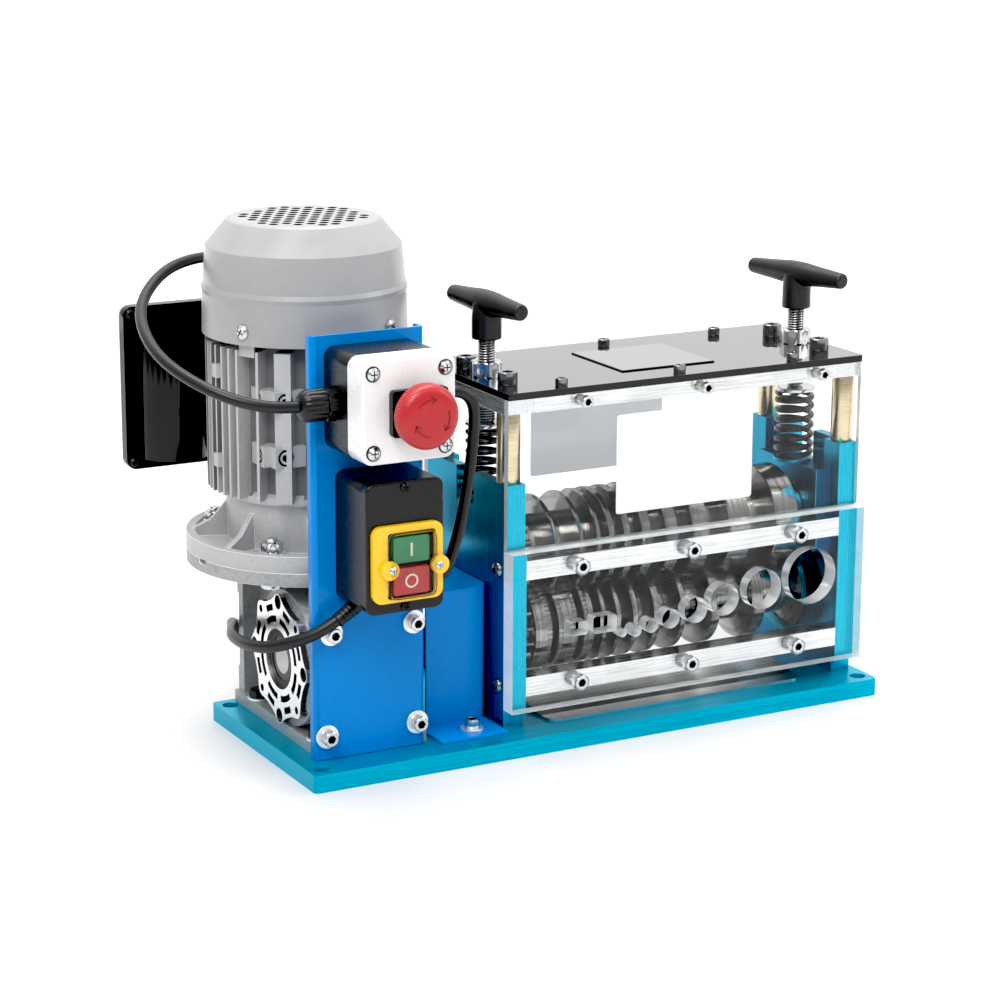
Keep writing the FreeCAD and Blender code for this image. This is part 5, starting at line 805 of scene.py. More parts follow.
# Inner parts of the drive: bronze worm wheel with a blackened steel hub, ground worm, and the ball
# bearings in their seats.
HUB_R = 14.6
wheel_bronze = surface("worm wheel bronze", (0.62, 0.42, 0.18), metal=1.0, rough=(0.25, 0.4),
                       stretch=(500, 90, 90), relief=0.01)
hub_steel = surface("blackened hub", (0.012, 0.012, 0.012), rough=(0.3, 0.45), stretch=(60, 900, 900),
                    tint=0.2, relief=0.006)
ground_steel = surface("ground steel", (0.55, 0.55, 0.56), metal=1.0, rough=(0.16, 0.3),
                       stretch=(1800, 60, 60), tint=0.1, relief=0.004)
race_steel = surface("bearing steel", (0.72, 0.72, 0.73), metal=1.0, rough=(0.1, 0.2), stretch=900,
                     relief=0.002)
paint_faces("worm_wheel", (wheel_bronze, hub_steel),
            lambda p, n: math.hypot(p.y, p.z - SHAFT_AXIS_Z) < HUB_R)
dress("worm", ground_steel)
dress("shaft_bearings", race_steel)


# Motor: cast aluminium under grey paint, with painted shade between the fins and on the flange's floor
# and painted highlights on the edges. A ribbed flange carries the finned housing, and the stator and
# the rotor sit inside it.
WORM_Y = 42.0
LUG_HOLES_Z = (199.75, 236.05)
LUG_HOLE_R = 5.2
FRONT_LUG_ASIDE = 37.8
SIDE_LUG_Y = 4.4
LUG_BOTTOM_Y = -9.6
LUG_FACE = 49.8
HOUSING_FOOT_Z = 171
SHELL_R = 55.5
FIN_R = 64
FLANGE_FLOOR_Z = 134
FLANGE_FLOOR_R = 76
motor_paint = surface("grey motor paint", (0.42, 0.422, 0.425), rough=(0.32, 0.46), stretch=500, tint=0.1,
                      relief=0.03, patches=20, coat=0.15, coat_rough=0.25)
# Painted highlights: a light grey on the bevels of the motor's edges.
painted_edge_highlight = surface("grey paint with painted highlights on the edges", (0.74, 0.745, 0.75), rough=(0.3, 0.4), stretch=500,
                     relief=0.01)
# Painted shade: a darker copy of the paint for the fins' walls and roots and the flange's floor.
painted_shade_grey = surface("grey paint darkened as painted shade", (0.15, 0.152, 0.155), rough=(0.4, 0.5), stretch=500,
                      tint=0.1, relief=0.03, patches=20)
winding_copper = surface("varnished winding", (0.55, 0.24, 0.09), metal=0.9, rough=(0.3, 0.45), stretch=700,
                         relief=0.08)


def in_lug_hole(p, n, z):
    """Walls and floors of a lug's threaded holes, at the housing's front and at its sides."""
    side = abs(p.x - GEARBOX_X)
    if math.hypot(side - FRONT_LUG_ASIDE, p.z - z) < LUG_HOLE_R and p.y < 0:
        return p.y > LUG_BOTTOM_Y or abs(n.y) < 0.5
    if math.hypot(p.y - SIDE_LUG_Y, p.z - z) < LUG_HOLE_R and 38 < side < 50.1:
        return side < LUG_FACE or abs(n.x) < 0.5
    return False


def housing_finish(p, n):
    """Paint, painted shade between the fins, and painted shade in the lugs' threaded holes."""
    if any(in_lug_hole(p, n, z) for z in LUG_HOLES_Z):
        return 3
    side = abs(p.x - GEARBOX_X)
    reach = math.hypot(side, p.y - WORM_Y)
    out = (p.x - GEARBOX_X) / reach * n.x + (p.y - WORM_Y) / reach * n.y
    lug = p.y < 5 and 23 < side < 50.5 and min(abs(p.z - z) for z in LUG_HOLES_Z) < 7
    if p.z < HOUSING_FOOT_Z or lug:
        return 0
    return 2 if reach < SHELL_R or (reach < FIN_R and abs(out) < 0.6 and abs(n.z) < 0.5) else 0


def flange_finish(p, n):
    """Paint, and painted shade on the flange's floor between the ribs."""
    reach = math.hypot(p.x - GEARBOX_X, p.y - WORM_Y)
    return 2 if n.z > 0.9 and p.z < FLANGE_FLOOR_Z and reach < FLANGE_FLOOR_R else 0


dress("motor_flange", motor_paint, 0.45, painted_edge_highlight)
paint_faces("motor_flange", (motor_paint, painted_edge_highlight, painted_shade_grey), flange_finish)
dress("motor_housing", motor_paint, 0.4, painted_edge_highlight)
paint_faces("motor_housing", (motor_paint, painted_edge_highlight, painted_shade_grey, recess_painted_shade), housing_finish)
dress("motor_stator", winding_copper)
dress("motor_rotor", ground_steel)


# Fan cover: pressed steel in a paler grey paint, with painted shade on its inner faces, and round
# vents in its top. It is screwed over the motor's plastic fan.
COVER_TOP_Z = 342
COVER_TOP_R = 46
COVER_FOOT_Z = 280
cover_paint = surface("pale fan cover paint", (0.33, 0.332, 0.335), rough=(0.3, 0.42), stretch=60, tint=0.05,
                      relief=0.01, patches=12, coat=0.2, coat_rough=0.2)
# Painted shade: black on the cover's inner faces.
inner_painted_shade = surface("painted shade inside the cover", (0.008, 0.008, 0.008), rough=(0.6, 0.8), relief=0.01)
fan_plastic = surface("fan plastic", (0.03, 0.03, 0.032), rough=(0.4, 0.55), stretch=500, relief=0.02)


def facing_in(p, n):
    """Faces of the cover's inner side, which get painted shade: under its top, or turned towards the motor's
    axis.
    """
    out = Vector((p.x - GEARBOX_X, p.y - WORM_Y, 0))
    if p.z > COVER_TOP_Z and out.length < COVER_TOP_R and n.z < 0.9:
        return True
    if n.z < -0.3 and p.z > COVER_FOOT_Z:
        return True
    return out.length > 30 and out.normalized().dot(n) < -0.2


paint_faces("fan_cover", (cover_paint, inner_painted_shade), facing_in)
dress("motor_fan", fan_plastic)


# Terminal box behind the motor: pressed steel, painted glossy black and screwed to the motor's
# housing. Two white capacitors are in it, and a contactor of the same white is in the switch box.
box_black = surface("glossy black paint", (0.003, 0.003, 0.003), rough=(0.05, 0.1), stretch=(30, 30, 9),
                    tint=0.2, relief=0.04, patches=8, own={"Specular IOR Level": 0.35})
inner_white = surface("capacitor shell", (0.75, 0.76, 0.77), rough=(0.35, 0.5), relief=0.01)
dress("terminal_box", box_black, 0.8, None, 3)
dress("electrical_parts", inner_white)


# Cross-head screws of the covers: zinc plated in the stop button's lid, the yellow frame and the fan
# cover, black in the switch box and the terminal box.
STOP_SCREWS = [(x, -113.0, z) for x in (-187.3, -138.3) for z in (223.4, 272.3)]
SWITCH_SCREWS = [(-161.1, -103.0, 121.2), (-161.1, -103.0, 197.4)]
FRAME_SCREWS = [(-173.0, -110.0, 147.0), (-140.8, -110.0, 147.0)]
STOP_SCREW_R = 2.0
SWITCH_SCREW_R = 1.6
FRAME_SCREW_R = 1.3
FAN_SCREW_R = 2.3
FAN_SCREW_OUT = 66.8
FAN_SCREW_Z = 279.7
TERMINAL_BOX_Y = 105
black_oxide = surface("black screws", (0.02, 0.02, 0.021), metal=0.6, rough=(0.25, 0.4), stretch=900,
                      relief=0.004)
cross_screws = []
cross_screws += [(Vector(seat), Vector(NEGATIVE_Y), STOP_SCREW_R) for seat in STOP_SCREWS]
cross_screws += [(Vector(seat), Vector(NEGATIVE_Y), SWITCH_SCREW_R) for seat in SWITCH_SCREWS]
cross_screws += [(Vector(seat), Vector(NEGATIVE_Y), FRAME_SCREW_R) for seat in FRAME_SCREWS]
for k in range(4):
    angle = math.radians(-150.6 + 90 * k)
    out = Vector((math.cos(angle), math.sin(angle), 0))
    cross_screws.append((Vector((GEARBOX_X, WORM_Y, FAN_SCREW_Z)) + out * FAN_SCREW_OUT, out, FAN_SCREW_R))


def screw_finish(p, n):
    """Zinc heads, black heads on the switch box and the terminal box, painted shade in the cross recesses."""
    seat, out, r = min(cross_screws, key=lambda s: (p - s[0]).length)
    rise = (p - seat).dot(out)
    reach = (p - seat - out * rise).length
    if reach < r * 1.24 and (abs(n.dot(out)) < 0.2 or rise < r * 0.84):
        return 2
    return 1 if p.y > TERMINAL_BOX_Y or r == SWITCH_SCREW_R else 0


paint_faces("cover_screws", (zinc_screw, black_oxide, recess_painted_shade), screw_finish)


# Mounting bolts: hexagon bolts through the gearbox's foot and the motor flange, cap screws in the
# bracket and the guard. They are zinc plated, black on the foot, and all have plain washers.
WASHER_THICK = 1.4
FOOT_BOLTS = [(side, y) for side in (-1, 1) for y in (-40.0, 54.0)]
FOOT_BOLT_ASIDE = 31.0
FOOT_TOP_Z = 20.0
FLANGE_BOLT_R = 65.0
FLANGE_SEAT_Z = 136.5
FLANGE_UNDER_Z = 119.0
BRACKET_SCREWS = ((-191.5, 95.5), (-133.3, 95.5), (-195.0, 27.6), (-131.2, 27.6))
BRACKET_FACE_Y = -58.5
GUARD_SCREW = Vector((-88.0, -53.0, 14.0))
washer_zinc = surface("bright washers", (0.88, 0.89, 0.90), metal=0.8, rough=(0.25, 0.4), stretch=900,
                      tint=0.06, relief=0.004, patches=160)


def flat_washer(seat, out, bore, rim):
    """Plain washer with soft rims."""
    thick = WASHER_THICK
    rows = [(bore, 0.15), (bore + 0.15, 0.0), (rim - 0.2, 0.0), (rim, 0.2), (rim, thick - 0.25),
            (rim - 0.25, thick), (bore + 0.2, thick), (bore, thick - 0.2), (bore, 0.15)]
    return lathe(rows, seat, out, 48)


washers = []
bolts = []
foot_bolts = []
# The sockets' dark linings are painted shade.
sockets = []
on_washer = Vector((0, 0, WASHER_THICK))
for side, y in FOOT_BOLTS:
    at = Vector((GEARBOX_X + side * FOOT_BOLT_ASIDE, y, FOOT_TOP_Z))
    washers.append(flat_washer(at, UP, 4.3, 8.4))
    foot_bolts.append(hex_head(at + on_washer, UP, 13.0, 5.2, shank=17.0, turned_by=0.3 * side + 0.01 * y))
for k in range(4):
    angle = math.radians(45 + 90 * k)
    at = Vector((GEARBOX_X + FLANGE_BOLT_R * math.cos(angle), WORM_Y + FLANGE_BOLT_R * math.sin(angle),
                 FLANGE_SEAT_Z))
    washers.append(flat_washer(at, UP, 4.3, 8.6))
    bolts.append(hex_head(at + on_washer, UP, 12.6, 6.5, shank=14.0, turned_by=0.4 + k))
    bolts.append(lathe([(4.0, 7.9), (4.0, 9.6), (3.4, 10.3), (0.0, 10.3)], at, UP, 32))
    bolts.append(hex_head((at.x, at.y, FLANGE_UNDER_Z), (0, 0, -1), 13.0, 5.2, turned_by=0.9 * k))
for x, z in BRACKET_SCREWS:
    washers.append(flat_washer((x, BRACKET_FACE_Y, z), NEGATIVE_Y, 3.3, 7.7))
    cap_screw(bolts, sockets, (x, BRACKET_FACE_Y - WASHER_THICK, z), NEGATIVE_Y, 3.0, 8.0, 36)
washers.append(flat_washer(GUARD_SCREW, UP, 3.3, 7.7))
cap_screw(bolts, sockets, GUARD_SCREW + on_washer, UP, 3.0, 8.0, 36)
mounting_shapes = [gathered(bolts), gathered(washers), gathered(foot_bolts), gathered(sockets)]
mounting = build("mounting_bolts", mounting_shapes, [zinc_screw, washer_zinc, black_oxide, recess_painted_shade])
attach(mounting, "frame")
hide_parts("mounting_bolts")


# Control bracket and coupling guard: folded steel sheet with a glossy blue powder coat. The bracket
# is bolted to the gearbox, and the guard to the base. The guard's coat is a lighter copy of the blue:
# painted light on the guard, which lies in the bracket's shade.
blue_coat = surface("blue powder coat", (0.002, 0.205, 0.58), rough=(0.16, 0.26), stretch=260, tint=0.06,
                    relief=0.02, patches=6, coat=0.08, coat_rough=0.06, own={"Specular IOR Level": 0.2})
# Painted light: the guard's copy of the coat is lighter than the bracket's.
guard_blue_painted_light = surface("blue coat of the guard, lightened as painted light", (0.003, 0.25, 0.68), rough=(0.16, 0.26), stretch=260,
                     tint=0.06, relief=0.02, patches=6, coat=0.08, coat_rough=0.06,
                     own={"Specular IOR Level": 0.2})
dress("control_bracket", blue_coat, 0.3)
dress("coupling_guard", guard_blue_painted_light, 0.3)


# Stop button: black base and white lid of moulded plastic, a square black plate with a stem, and the
# red mushroom head. Its rim has fine ribs for the grip, and its arrows show the way it is turned.
STOP_AXIS = Vector((-159.5, -123.0, 247.0))
HEAD_HIGH = 14.5
RIM_RIBS = 72
ARROW_RADIUS = 11.6
ARROW_STARTS = (140, 20, 260)
ARROW_SWEEP = -62
ARROW_HALF_LINE = 0.32
ARROW_PROUD = 0.14
ARROW_SUNK = 0.16
black_moulding = surface("black moulded plastic", (0.009, 0.009, 0.0095), rough=(0.24, 0.36), stretch=700,
                         tint=0.2, relief=0.008, own={"Specular IOR Level": 0.4})
white_moulding = surface("white moulded plastic", (0.77, 0.77, 0.77), rough=(0.24, 0.34), stretch=600,
                         tint=0.02, relief=0.002)
stop_red = surface("red moulded plastic", (0.41, 0.018, 0.023), rough=(0.26, 0.36), stretch=700, tint=0.05,
                   relief=0.002)
arrow_red = surface("engraved arrows", (0.22, 0.004, 0.006), rough=(0.4, 0.5), relief=0.005)
dress("estop_base", black_moulding, 0.5)
dress("estop_lid", white_moulding, 0.4)
dress("estop_actuator", black_moulding, 0.4)
dress("estop_stem", black_moulding, 0.3)
# Thin black rings round the lid's screws: painted shadow in the gaps of their counterbores.
shadow_ring_rows = [(4.1, 0.02), (4.95, 0.02), (4.95, 0.14), (4.1, 0.14)]
shadow_rings = [lathe(shadow_ring_rows, seat, NEGATIVE_Y, 40) for seat in STOP_SCREWS]
screw_shadow_rings = build("stop_screw_shadow_rings", [gathered(shadow_rings)], [black_moulding])
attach(screw_shadow_rings, "frame")


def rim_grip(angle, height, row):
    """Fine ribs round the rim."""
    return -0.42 * (0.5 + 0.5 * math.cos(angle * RIM_RIBS)) if 3 <= row <= 7 else 0.0


def arrow_line(middle, start, end):
    """A raised line along an arc on the head's face, with an arrow's barb at its end."""
    points = []
    faces = []
    sunk = Vector((0, ARROW_PROUD + ARROW_SUNK, 0))

    def add_strip(left, right):
        first = len(points)
        for a, b in zip(left, right):
            points.extend((a + sunk, a, b, b + sunk))
        count = len(left)
        for k in range(count - 1):
            p = first + 4 * k
            q = p + 4
            faces.extend(((p, p + 1, q + 1, q), (p + 1, p + 2, q + 2, q + 1), (p + 2, p + 3, q + 3, q + 2)))
        last = first + 4 * (count - 1)
        faces.append((first, first + 3, first + 2, first + 1))
        faces.append((last, last + 1, last + 2, last + 3))

    def on_face(angle, r):
        return middle + Vector((r * math.cos(angle), -ARROW_PROUD, r * math.sin(angle)))

    steps = 14
    turns = [math.radians(start + (end - start) * k / steps) for k in range(steps + 1)]
    inner = [on_face(a, ARROW_RADIUS - ARROW_HALF_LINE) for a in turns]
    outer = [on_face(a, ARROW_RADIUS + ARROW_HALF_LINE) for a in turns]
    add_strip(inner, outer)
    for r in (ARROW_RADIUS - 2.4, ARROW_RADIUS + 2.2):
        a, b = on_face(turns[-1], ARROW_RADIUS), on_face(math.radians(end + 15), r)
        across = (b - a).normalized().cross(Vector((0, 1, 0))) * ARROW_HALF_LINE
        add_strip([a - across, b - across], [a + across, b + across])
    return points, faces


head_rows = [(11.1, 0.0), (16.3, 0.0), (19.2, 1.2), (20.2, 2.6), (20.3, 4.2), (20.3, 7.0), (20.25, 9.4),
             (19.6, 10.8), (18.4, 12.4), (16.2, 13.7), (13.0, 14.3), (8.0, HEAD_HIGH), (0.0, HEAD_HIGH)]
head_shape = lathe(head_rows, STOP_AXIS, NEGATIVE_Y, 216, rim_grip)
head_face = STOP_AXIS - Vector((0, HEAD_HIGH, 0))
arrows = [arrow_line(head_face, start, start + ARROW_SWEEP) for start in ARROW_STARTS]
stop_head = build("mushroom_head", [head_shape, gathered(arrows)], [stop_red, arrow_red], 50)
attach(stop_head, "stop_head")
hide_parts("estop_head")


# Switch box: black moulded box and cover with a yellow frame, and the green and the red push button
# in it. The buttons carry the raised white signs I and O.
SIGN_X = -158.5
START_Z = 158.3
STOP_Z = 138.2
BUTTON_FACE_Y = -106.5
SIGN_SUNK = 0.1
SIGN_PROUD = 0.15
frame_yellow = surface("yellow moulded plastic", (0.85, 0.52, 0.02), rough=(0.24, 0.36), stretch=500,
                       tint=0.05, relief=0.01, coat=0.2, coat_rough=0.15)
button_green = surface("green button", (0.05, 0.29, 0.14), rough=(0.3, 0.4), stretch=600, relief=0.01)
button_red = surface("red button", (0.55, 0.06, 0.065), rough=(0.3, 0.4), stretch=600, relief=0.01)
sign_white = surface("sign white", (0.85, 0.85, 0.85), rough=(0.4, 0.5), relief=0.003)
dress("switch_box", black_moulding, 0.5)
dress("switch_cover", black_moulding, 0.4)
dress("switch_frame", frame_yellow, 0.6, None, 3)
dress("green_button", button_green, 0.4)
dress("red_button", button_red, 0.4)


def sign_bar(x, z, half_width, half_height):
    """The sign I as a bevelled bar, sunk a little into the button's face."""
    return slab(x - half_width, x + half_width, BUTTON_FACE_Y - SIGN_PROUD, BUTTON_FACE_Y + SIGN_SUNK,
                z - half_height, z + half_height, 0.05)


def sign_ring(x, z, radius, half_line):
    """The sign O as a flat ring, sunk a little into the button's face."""
    rows = [(radius - half_line, -SIGN_SUNK), (radius - half_line, SIGN_PROUD),
            (radius + half_line, SIGN_PROUD), (radius + half_line, -SIGN_SUNK)]
    return lathe(rows, (x, BUTTON_FACE_Y, z), NEGATIVE_Y, 48)


start_sign = build("start_sign", [sign_bar(SIGN_X, START_Z, 0.75, 4.2)], [sign_white])
stop_sign = build("stop_sign", [sign_ring(SIGN_X, STOP_Z, 3.9, 0.6)], [sign_white])
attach(start_sign, "green")
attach(stop_sign, "red")


# Boot: a clear soft cap over both buttons with a wall of 0.6 mm. The yellow frame clamps it, and it
# gives way when a button is pressed.
BOOT_MIDDLE = (SIGN_X, -106.9, 148.75)
BOOT_WALL = 0.6
boot_clear = surface("clear boot", (0.93, 0.91, 0.87), rough=(0.04, 0.12), stretch=200, tint=0.02,
                     relief=0.02, clear=1.0, own={"IOR": 1.2})
boot_rows = [(16.3, 21.05, 0.0), (16.3, 21.05, 2.2), (16.0, 20.8, 3.0), (14.8, 19.6, 3.5), (9.0, 13.0, 3.7)]
boot_points, boot_faces = boxed(boot_rows, BOOT_MIDDLE, NEGATIVE_Y, oblong(0.22, 64))
open_faces = boot_faces[:-2] + boot_faces[-1:]
boot = build("button_boot", [(boot_points, open_faces)], [boot_clear], 45)
shell = boot.modifiers.new("wall", "SOLIDIFY")
shell.thickness = BOOT_WALL * MM
shell.offset = -1.0
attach(boot, "frame")


# Cable glands: black nylon, with a hexagon at the wall and a fluted cap nut that closes on the cable.
# Two hold the cables at the stop button, one the cable at the terminal box; a grommet is at the switch.
GLAND_BORE = CABLE_R + 0.1
HEXAGON_FLATS = 19.0
NUT_R = 10.2
NUT_FLUTES = 14


def cable_gland(seat, way, length, hexagon_high):
    """Hexagon body, then the fluted nut with a rounded end."""
    body = hex_head(seat, way, HEXAGON_FLATS, hexagon_high, GLAND_BORE, turned_by=0.2)
    nut = [(GLAND_BORE, hexagon_high + 0.2), (9.4, hexagon_high + 0.2), (NUT_R, hexagon_high + 1.0),
           (NUT_R, length - 6.4), (9.7, length - 4.2), (8.4, length - 2.0), (6.4, length - 0.5),
           (4.6, length), (GLAND_BORE, length), (GLAND_BORE, hexagon_high + 0.2)]

    def flutes(angle, height, row):
        return -0.42 * max(math.cos(angle * NUT_FLUTES), -0.2) if 2 <= row <= 4 else 0.0

    return [body, lathe(nut, seat, way, 168, flutes)]


gland_parts = cable_gland((-194.4, -75, 248), (-1, 0, 0), 25.1, 8.0)
gland_parts += cable_gland((-131.2, -75, 247), (1, 0, 0), 15.0, 4.6)
gland_parts += cable_gland((-170, 139, 262), UP, 24.0, 8.0)
grommet_rows = [(GLAND_BORE, 0.0), (CABLE_R + 1.8, 0.0), (CABLE_R + 1.8, 3.2), (CABLE_R + 0.9, 4.0),
                (GLAND_BORE, 4.0), (GLAND_BORE, 0.0)]
gland_parts.append(lathe(grommet_rows, (-136.4, -76, 127.5), (1, 0, 0), 40))
glands = build("cable_glands_moulded", [gathered(gland_parts)], [black_moulding], 28)
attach(glands, "frame")
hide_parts("cable_glands")


# Rollers: hardened steel, turned and ground. The feed rollers below are grooved and knurled, and the
# cutter discs above run in their grooves. Gears at the left couple both shafts, and blue blocks with
# ball bearings carry the upper one.
roller_steel = surface("ground roller steel", (0.31, 0.305, 0.295), metal=1.0, rough=(0.08, 0.22),
                       stretch=(700, 30, 30), tint=0.45, relief=0.003, patches=30)
for name in ("drive_shaft", "drive_gear", "feed_rollers", "cutter_shaft", "driven_gear", "cutter_rollers"):
    dress(name, roller_steel)
dress("bearing_blocks", plate_blue, 0.4, edge_blue)
dress("block_bearings", race_steel)


# Pressure springs: round black wire, seven turns, closed at both ends. Each is drawn as two halves
# that meet at its middle.
SPRING_LOW = 158.0
SPRING_HIGH = 202.0
SPRING_TURNS = 7
SPRING_R = 12.0
WIRE_R = 2.0
CLOSED_PITCH = 4.8


def spring_rise(turns):
    """Height of the wire after some turns; the first and the last turn lie close."""
    pitch = (SPRING_HIGH - SPRING_LOW - 2 * CLOSED_PITCH) / (SPRING_TURNS - 2)
    if turns <= 1:
        return SPRING_LOW + CLOSED_PITCH * max(turns, 0.0)
    if turns >= SPRING_TURNS - 1:
        return SPRING_HIGH - CLOSED_PITCH * (SPRING_TURNS - min(turns, SPRING_TURNS))
    return SPRING_LOW + CLOSED_PITCH + pitch * (turns - 1)


def tube_faces(rows, around):
    """Faces between rings of points, with both ends closed."""
    faces = []
    for row in range(rows):
        for k in range(around):
            n = (k + 1) % around
            low = row * around
            high = low + around
            faces.append((low + k, low + n, high + n, high + k))
    return faces


def spring_wire(x, phase, first, last):
    """The wire between two turns of the spring, as a tube with closed ends."""
    around = 14
    steps = int((last - first) * 56)
    points = []
    for k in range(steps + 1):
        turns = first + (last - first) * k / steps
        angle = phase + 2 * math.pi * turns
        out = Vector((math.cos(angle), math.sin(angle), 0))
        middle = Vector((x, 0, spring_rise(turns))) + out * SPRING_R
        for j in range(around):
            a = 2 * math.pi * j / around
            points.append(middle + out * WIRE_R * math.cos(a) + Vector((0, 0, WIRE_R * math.sin(a))))
    start_cap = tuple(range(around))
    end_cap = tuple(reversed(range(steps * around, (steps + 1) * around)))
    return points, tube_faces(steps, around) + [start_cap, end_cap]


spring_black = surface("blackened spring wire", (0.008, 0.008, 0.009), rough=(0.18, 0.28), stretch=500,
                       tint=0.3, relief=0.001)
for side, x, phase in (("left", LEFT_SCREW_X, 0.0), ("right", RIGHT_SCREW_X, math.pi)):
    half = SPRING_TURNS / 2
    lower_wire = spring_wire(x, phase, 0.0, half)
    upper_wire = spring_wire(x, phase, half, SPRING_TURNS)
    lower = build(side + "_spring_lower_half", [lower_wire], [spring_black], 60)
    upper = build(side + "_spring_upper_half", [upper_wire], [spring_black], 60)
    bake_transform(lower)
    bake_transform(upper)
    for piece in (lower, upper):
        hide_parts(side + "_spring")
    dress(side + "_washer", zinc_screw, 0.2)


# Pressure screws: M12 threaded rods of bright steel with a spigot in the washer, and a T handle of
# matt black plastic moulded on top. The roots of the thread carry painted shade.
THREAD_TIP = 5.95
THREAD_ROOT = 5.05
THREAD_PITCH = 1.75
THREAD_SHADE_R = 5.42
SPIGOT_R = 3.95
SPIGOT_LOW = 200.0
ROD_LOW = 206.5
ROD_HIGH = 264.0
HANDLE_AXIS_Z = 286.0
HANDLE_TURN = {"left": 3.0, "right": 11.5}


def threaded_rod(x):
    """A rod with a real thread, tapered off at its lower end."""
    around = 40
    rows = int((ROD_HIGH - ROD_LOW) / THREAD_PITCH * 8)
    points = []
    for row in range(rows + 1):
        z = ROD_LOW + (ROD_HIGH - ROD_LOW) * row / rows
        for k in range(around):
            angle = 2 * math.pi * k / around
            wave = abs(((z / THREAD_PITCH - k / around) % 1.0) * 2 - 1)
            r = THREAD_ROOT + (THREAD_TIP - THREAD_ROOT) * min(max(1.25 * wave - 0.1, 0.0), 1.0)
            r = min(r, 4.6 + (z - ROD_LOW))
            points.append(Vector((x + r * math.cos(angle), r * math.sin(angle), z)))
    low_end = tuple(reversed(range(around)))
    high_end = tuple(range(rows * around, (rows + 1) * around))
    return points, tube_faces(rows, around) + [low_end, high_end]


def t_handle(side, x):
    """Hub and tapered bar, melted into one moulding with soft inner corners."""
    angle = math.radians(HANDLE_TURN[side])
    along = Vector((math.sin(angle), -math.cos(angle), 0))
    half_bar = [(8.4, 4.0), (8.1, 9.0), (6.9, 22.0), (5.6, 40.5), (5.45, 42.4), (4.9, 43.6), (3.6, 44.0),
                (0.0, 44.0)]
    bar_rows = [(r, -out) for r, out in reversed(half_bar)] + half_bar
    hub_rows = [(0.0, 262.0), (9.4, 262.0), (9.9, 262.5), (9.9, 276.0), (9.0, 286.0), (0.0, 287.0)]
    bar = lathe(bar_rows, (x, 0, HANDLE_AXIS_Z), along, 64)
    hub = lathe(hub_rows, (x, 0, 0), UP, 64)
    handle = build(side + "_T_handle", [gathered([bar, hub])], [handle_black], 40)
    melt = handle.modifiers.new("melt", "REMESH")
    melt.mode = "VOXEL"
    melt.voxel_size = 0.00055
    melt.use_smooth_shade = True
    soften = handle.modifiers.new("soften", "SMOOTH")
    soften.factor = 0.5
    soften.iterations = 4
    return handle


handle_black = surface("matt black handle", (0.010, 0.010, 0.0105), rough=(0.3, 0.42), stretch=1500,
                       tint=0.2, relief=0.03)
rod_bright = surface("bright threaded rod", (0.58, 0.58, 0.58), metal=1.0, rough=(0.12, 0.22), stretch=900,
                     relief=0.0004)
thread_shade = surface("painted shade in the thread roots", (0.06, 0.06, 0.062), metal=0.8, rough=(0.3, 0.42), relief=0.001)
for side, x in (("left", LEFT_SCREW_X), ("right", RIGHT_SCREW_X)):
    spigot_rows = [(0.0, SPIGOT_LOW), (3.4, SPIGOT_LOW), (SPIGOT_R, SPIGOT_LOW + 0.5), (SPIGOT_R, ROD_LOW),
                   (0.0, ROD_LOW)]
    spigot = lathe(spigot_rows, (x, 0, 0), UP, 40)
    rod_shape = gathered([spigot, threaded_rod(x)])
    rod = build(side + "_pressure_screw", [rod_shape], [rod_bright, thread_shade], 50)
    # Faces in the thread's roots get the painted shade.
    for face in rod.data.polygons:
        middle = face.center / MM
        if middle.z > ROD_LOW + 1.5 and math.hypot(middle.x - x, middle.y) < THREAD_SHADE_R:
            face.material_index = 1
    handle = t_handle(side, x)
    for piece in (rod, handle):
        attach(piece, side + "_screw")
        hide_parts(side + "_t_screw")


# Floor and lights: a plain pale floor, a large soft light from the upper left in front, a weaker one
# from the right and one from above.
FLOOR_R = 1.5
FLOOR_MIDDLE = (0, 0.1, 0)
floor_pale = surface("pale floor", (0.70, 0.70, 0.705), rough=(0.5, 0.6), stretch=30, tint=0.01, relief=0.0)
bpy.ops.mesh.primitive_circle_add(vertices=96, radius=FLOOR_R, fill_type="NGON", location=FLOOR_MIDDLE)
floor = bpy.context.object
floor.name = "floor"
floor.data.materials.append(floor_pale)


def soft_light(name, place, target, size, power):
    """A rectangular light that shines from its place to its target."""
    data = bpy.data.lights.new(name, "AREA")
    data.shape = "RECTANGLE"
    data.size, data.size_y = size
    data.energy = power
    light = bpy.data.objects.new(name, data)
    bpy.context.scene.collection.objects.link(light)
    light.location = place
    way = Vector(target) - Vector(place)
    light.rotation_mode = "QUATERNION"
    light.rotation_quaternion = way.to_track_quat("-Z", "Y")


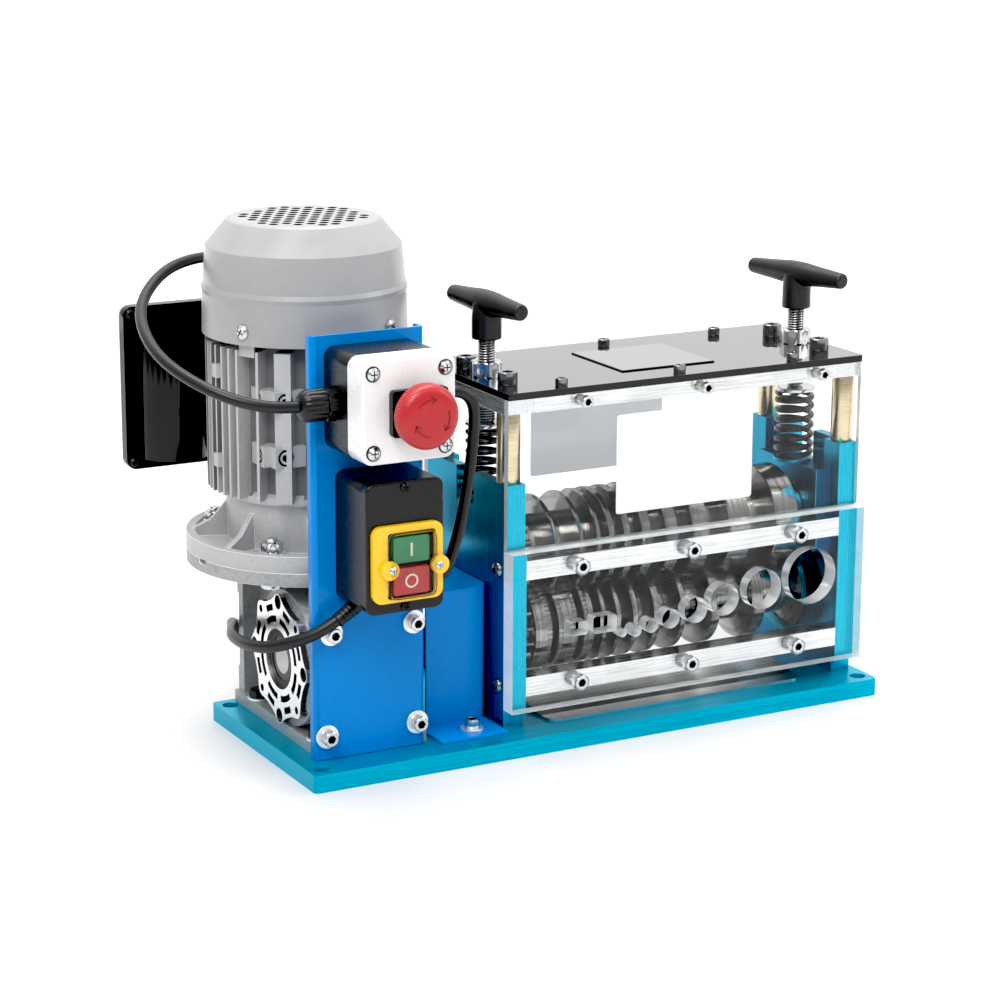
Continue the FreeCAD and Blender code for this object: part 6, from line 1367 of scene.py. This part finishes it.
soft_light("key light", (-1.3, -1.3, 2.3), (0, 0, 0.1), (1.3, 1.3), 42)
soft_light("side light", (1.9, -1.0, 1.3), (0, 0, 0.15), (0.8, 1.4), 12)
soft_light("top light", (0.1, 0.5, 2.4), (0, 0, 0.1), (1.8, 1.2), 38)


# Surround: white, brighter towards the top and towards the back, and bright below the horizon, so
# that the floor's rim doesn't show. The picture keeps plain colours and a slightly raised black point.
SURROUND_DEPTH = (0.48, 0.88, 0.0)
BLACK_POINT = 0.018
surround = bpy.data.worlds.new("surround")
surround.use_nodes = True
sky = surround.node_tree
direction = sky.nodes.new("ShaderNodeTexCoord")
height = sky.nodes.new("ShaderNodeSeparateXYZ")
depth = fitted_node(sky, "ShaderNodeVectorMath", {1: SURROUND_DEPTH})
depth.operation = "DOT_PRODUCT"
upward = sky.nodes.new("ShaderNodeMath")
total = sky.nodes.new("ShaderNodeMath")
upward.operation = "ADD"
total.operation = "ADD"


def slope(source, low, high, start, end):
    """A soft step of the surround's brightness."""
    limits = {"From Min": low, "From Max": high, "To Min": start, "To Max": end}
    step = fitted_node(sky, "ShaderNodeMapRange", limits)
    step.interpolation_type = "SMOOTHSTEP"
    sky.links.new(source, step.inputs["Value"])
    return step.outputs["Result"]


sky.links.new(direction.outputs["Generated"], height.inputs["Vector"])
sky.links.new(direction.outputs["Generated"], depth.inputs[0])
sky.links.new(slope(height.outputs["Z"], 0.1, 0.85, 0.45, 1.2), upward.inputs[0])
sky.links.new(slope(depth.outputs["Value"], 0.35, 0.9, 0.0, 0.6), upward.inputs[1])
sky.links.new(upward.outputs["Value"], total.inputs[0])
sky.links.new(slope(height.outputs["Z"], -0.08, -0.02, 0.9, 0.0), total.inputs[1])
sky.links.new(total.outputs["Value"], sky.nodes["Background"].inputs["Strength"])
sky.nodes["Background"].inputs["Color"].default_value = (1.0, 1.0, 1.0, 1.0)
bpy.context.scene.world = surround
picture = bpy.context.scene.view_settings
picture.view_transform = "Standard"
picture.use_curve_mapping = True
picture.curve_mapping.black_level = (BLACK_POINT, BLACK_POINT, BLACK_POINT)
picture.curve_mapping.update()
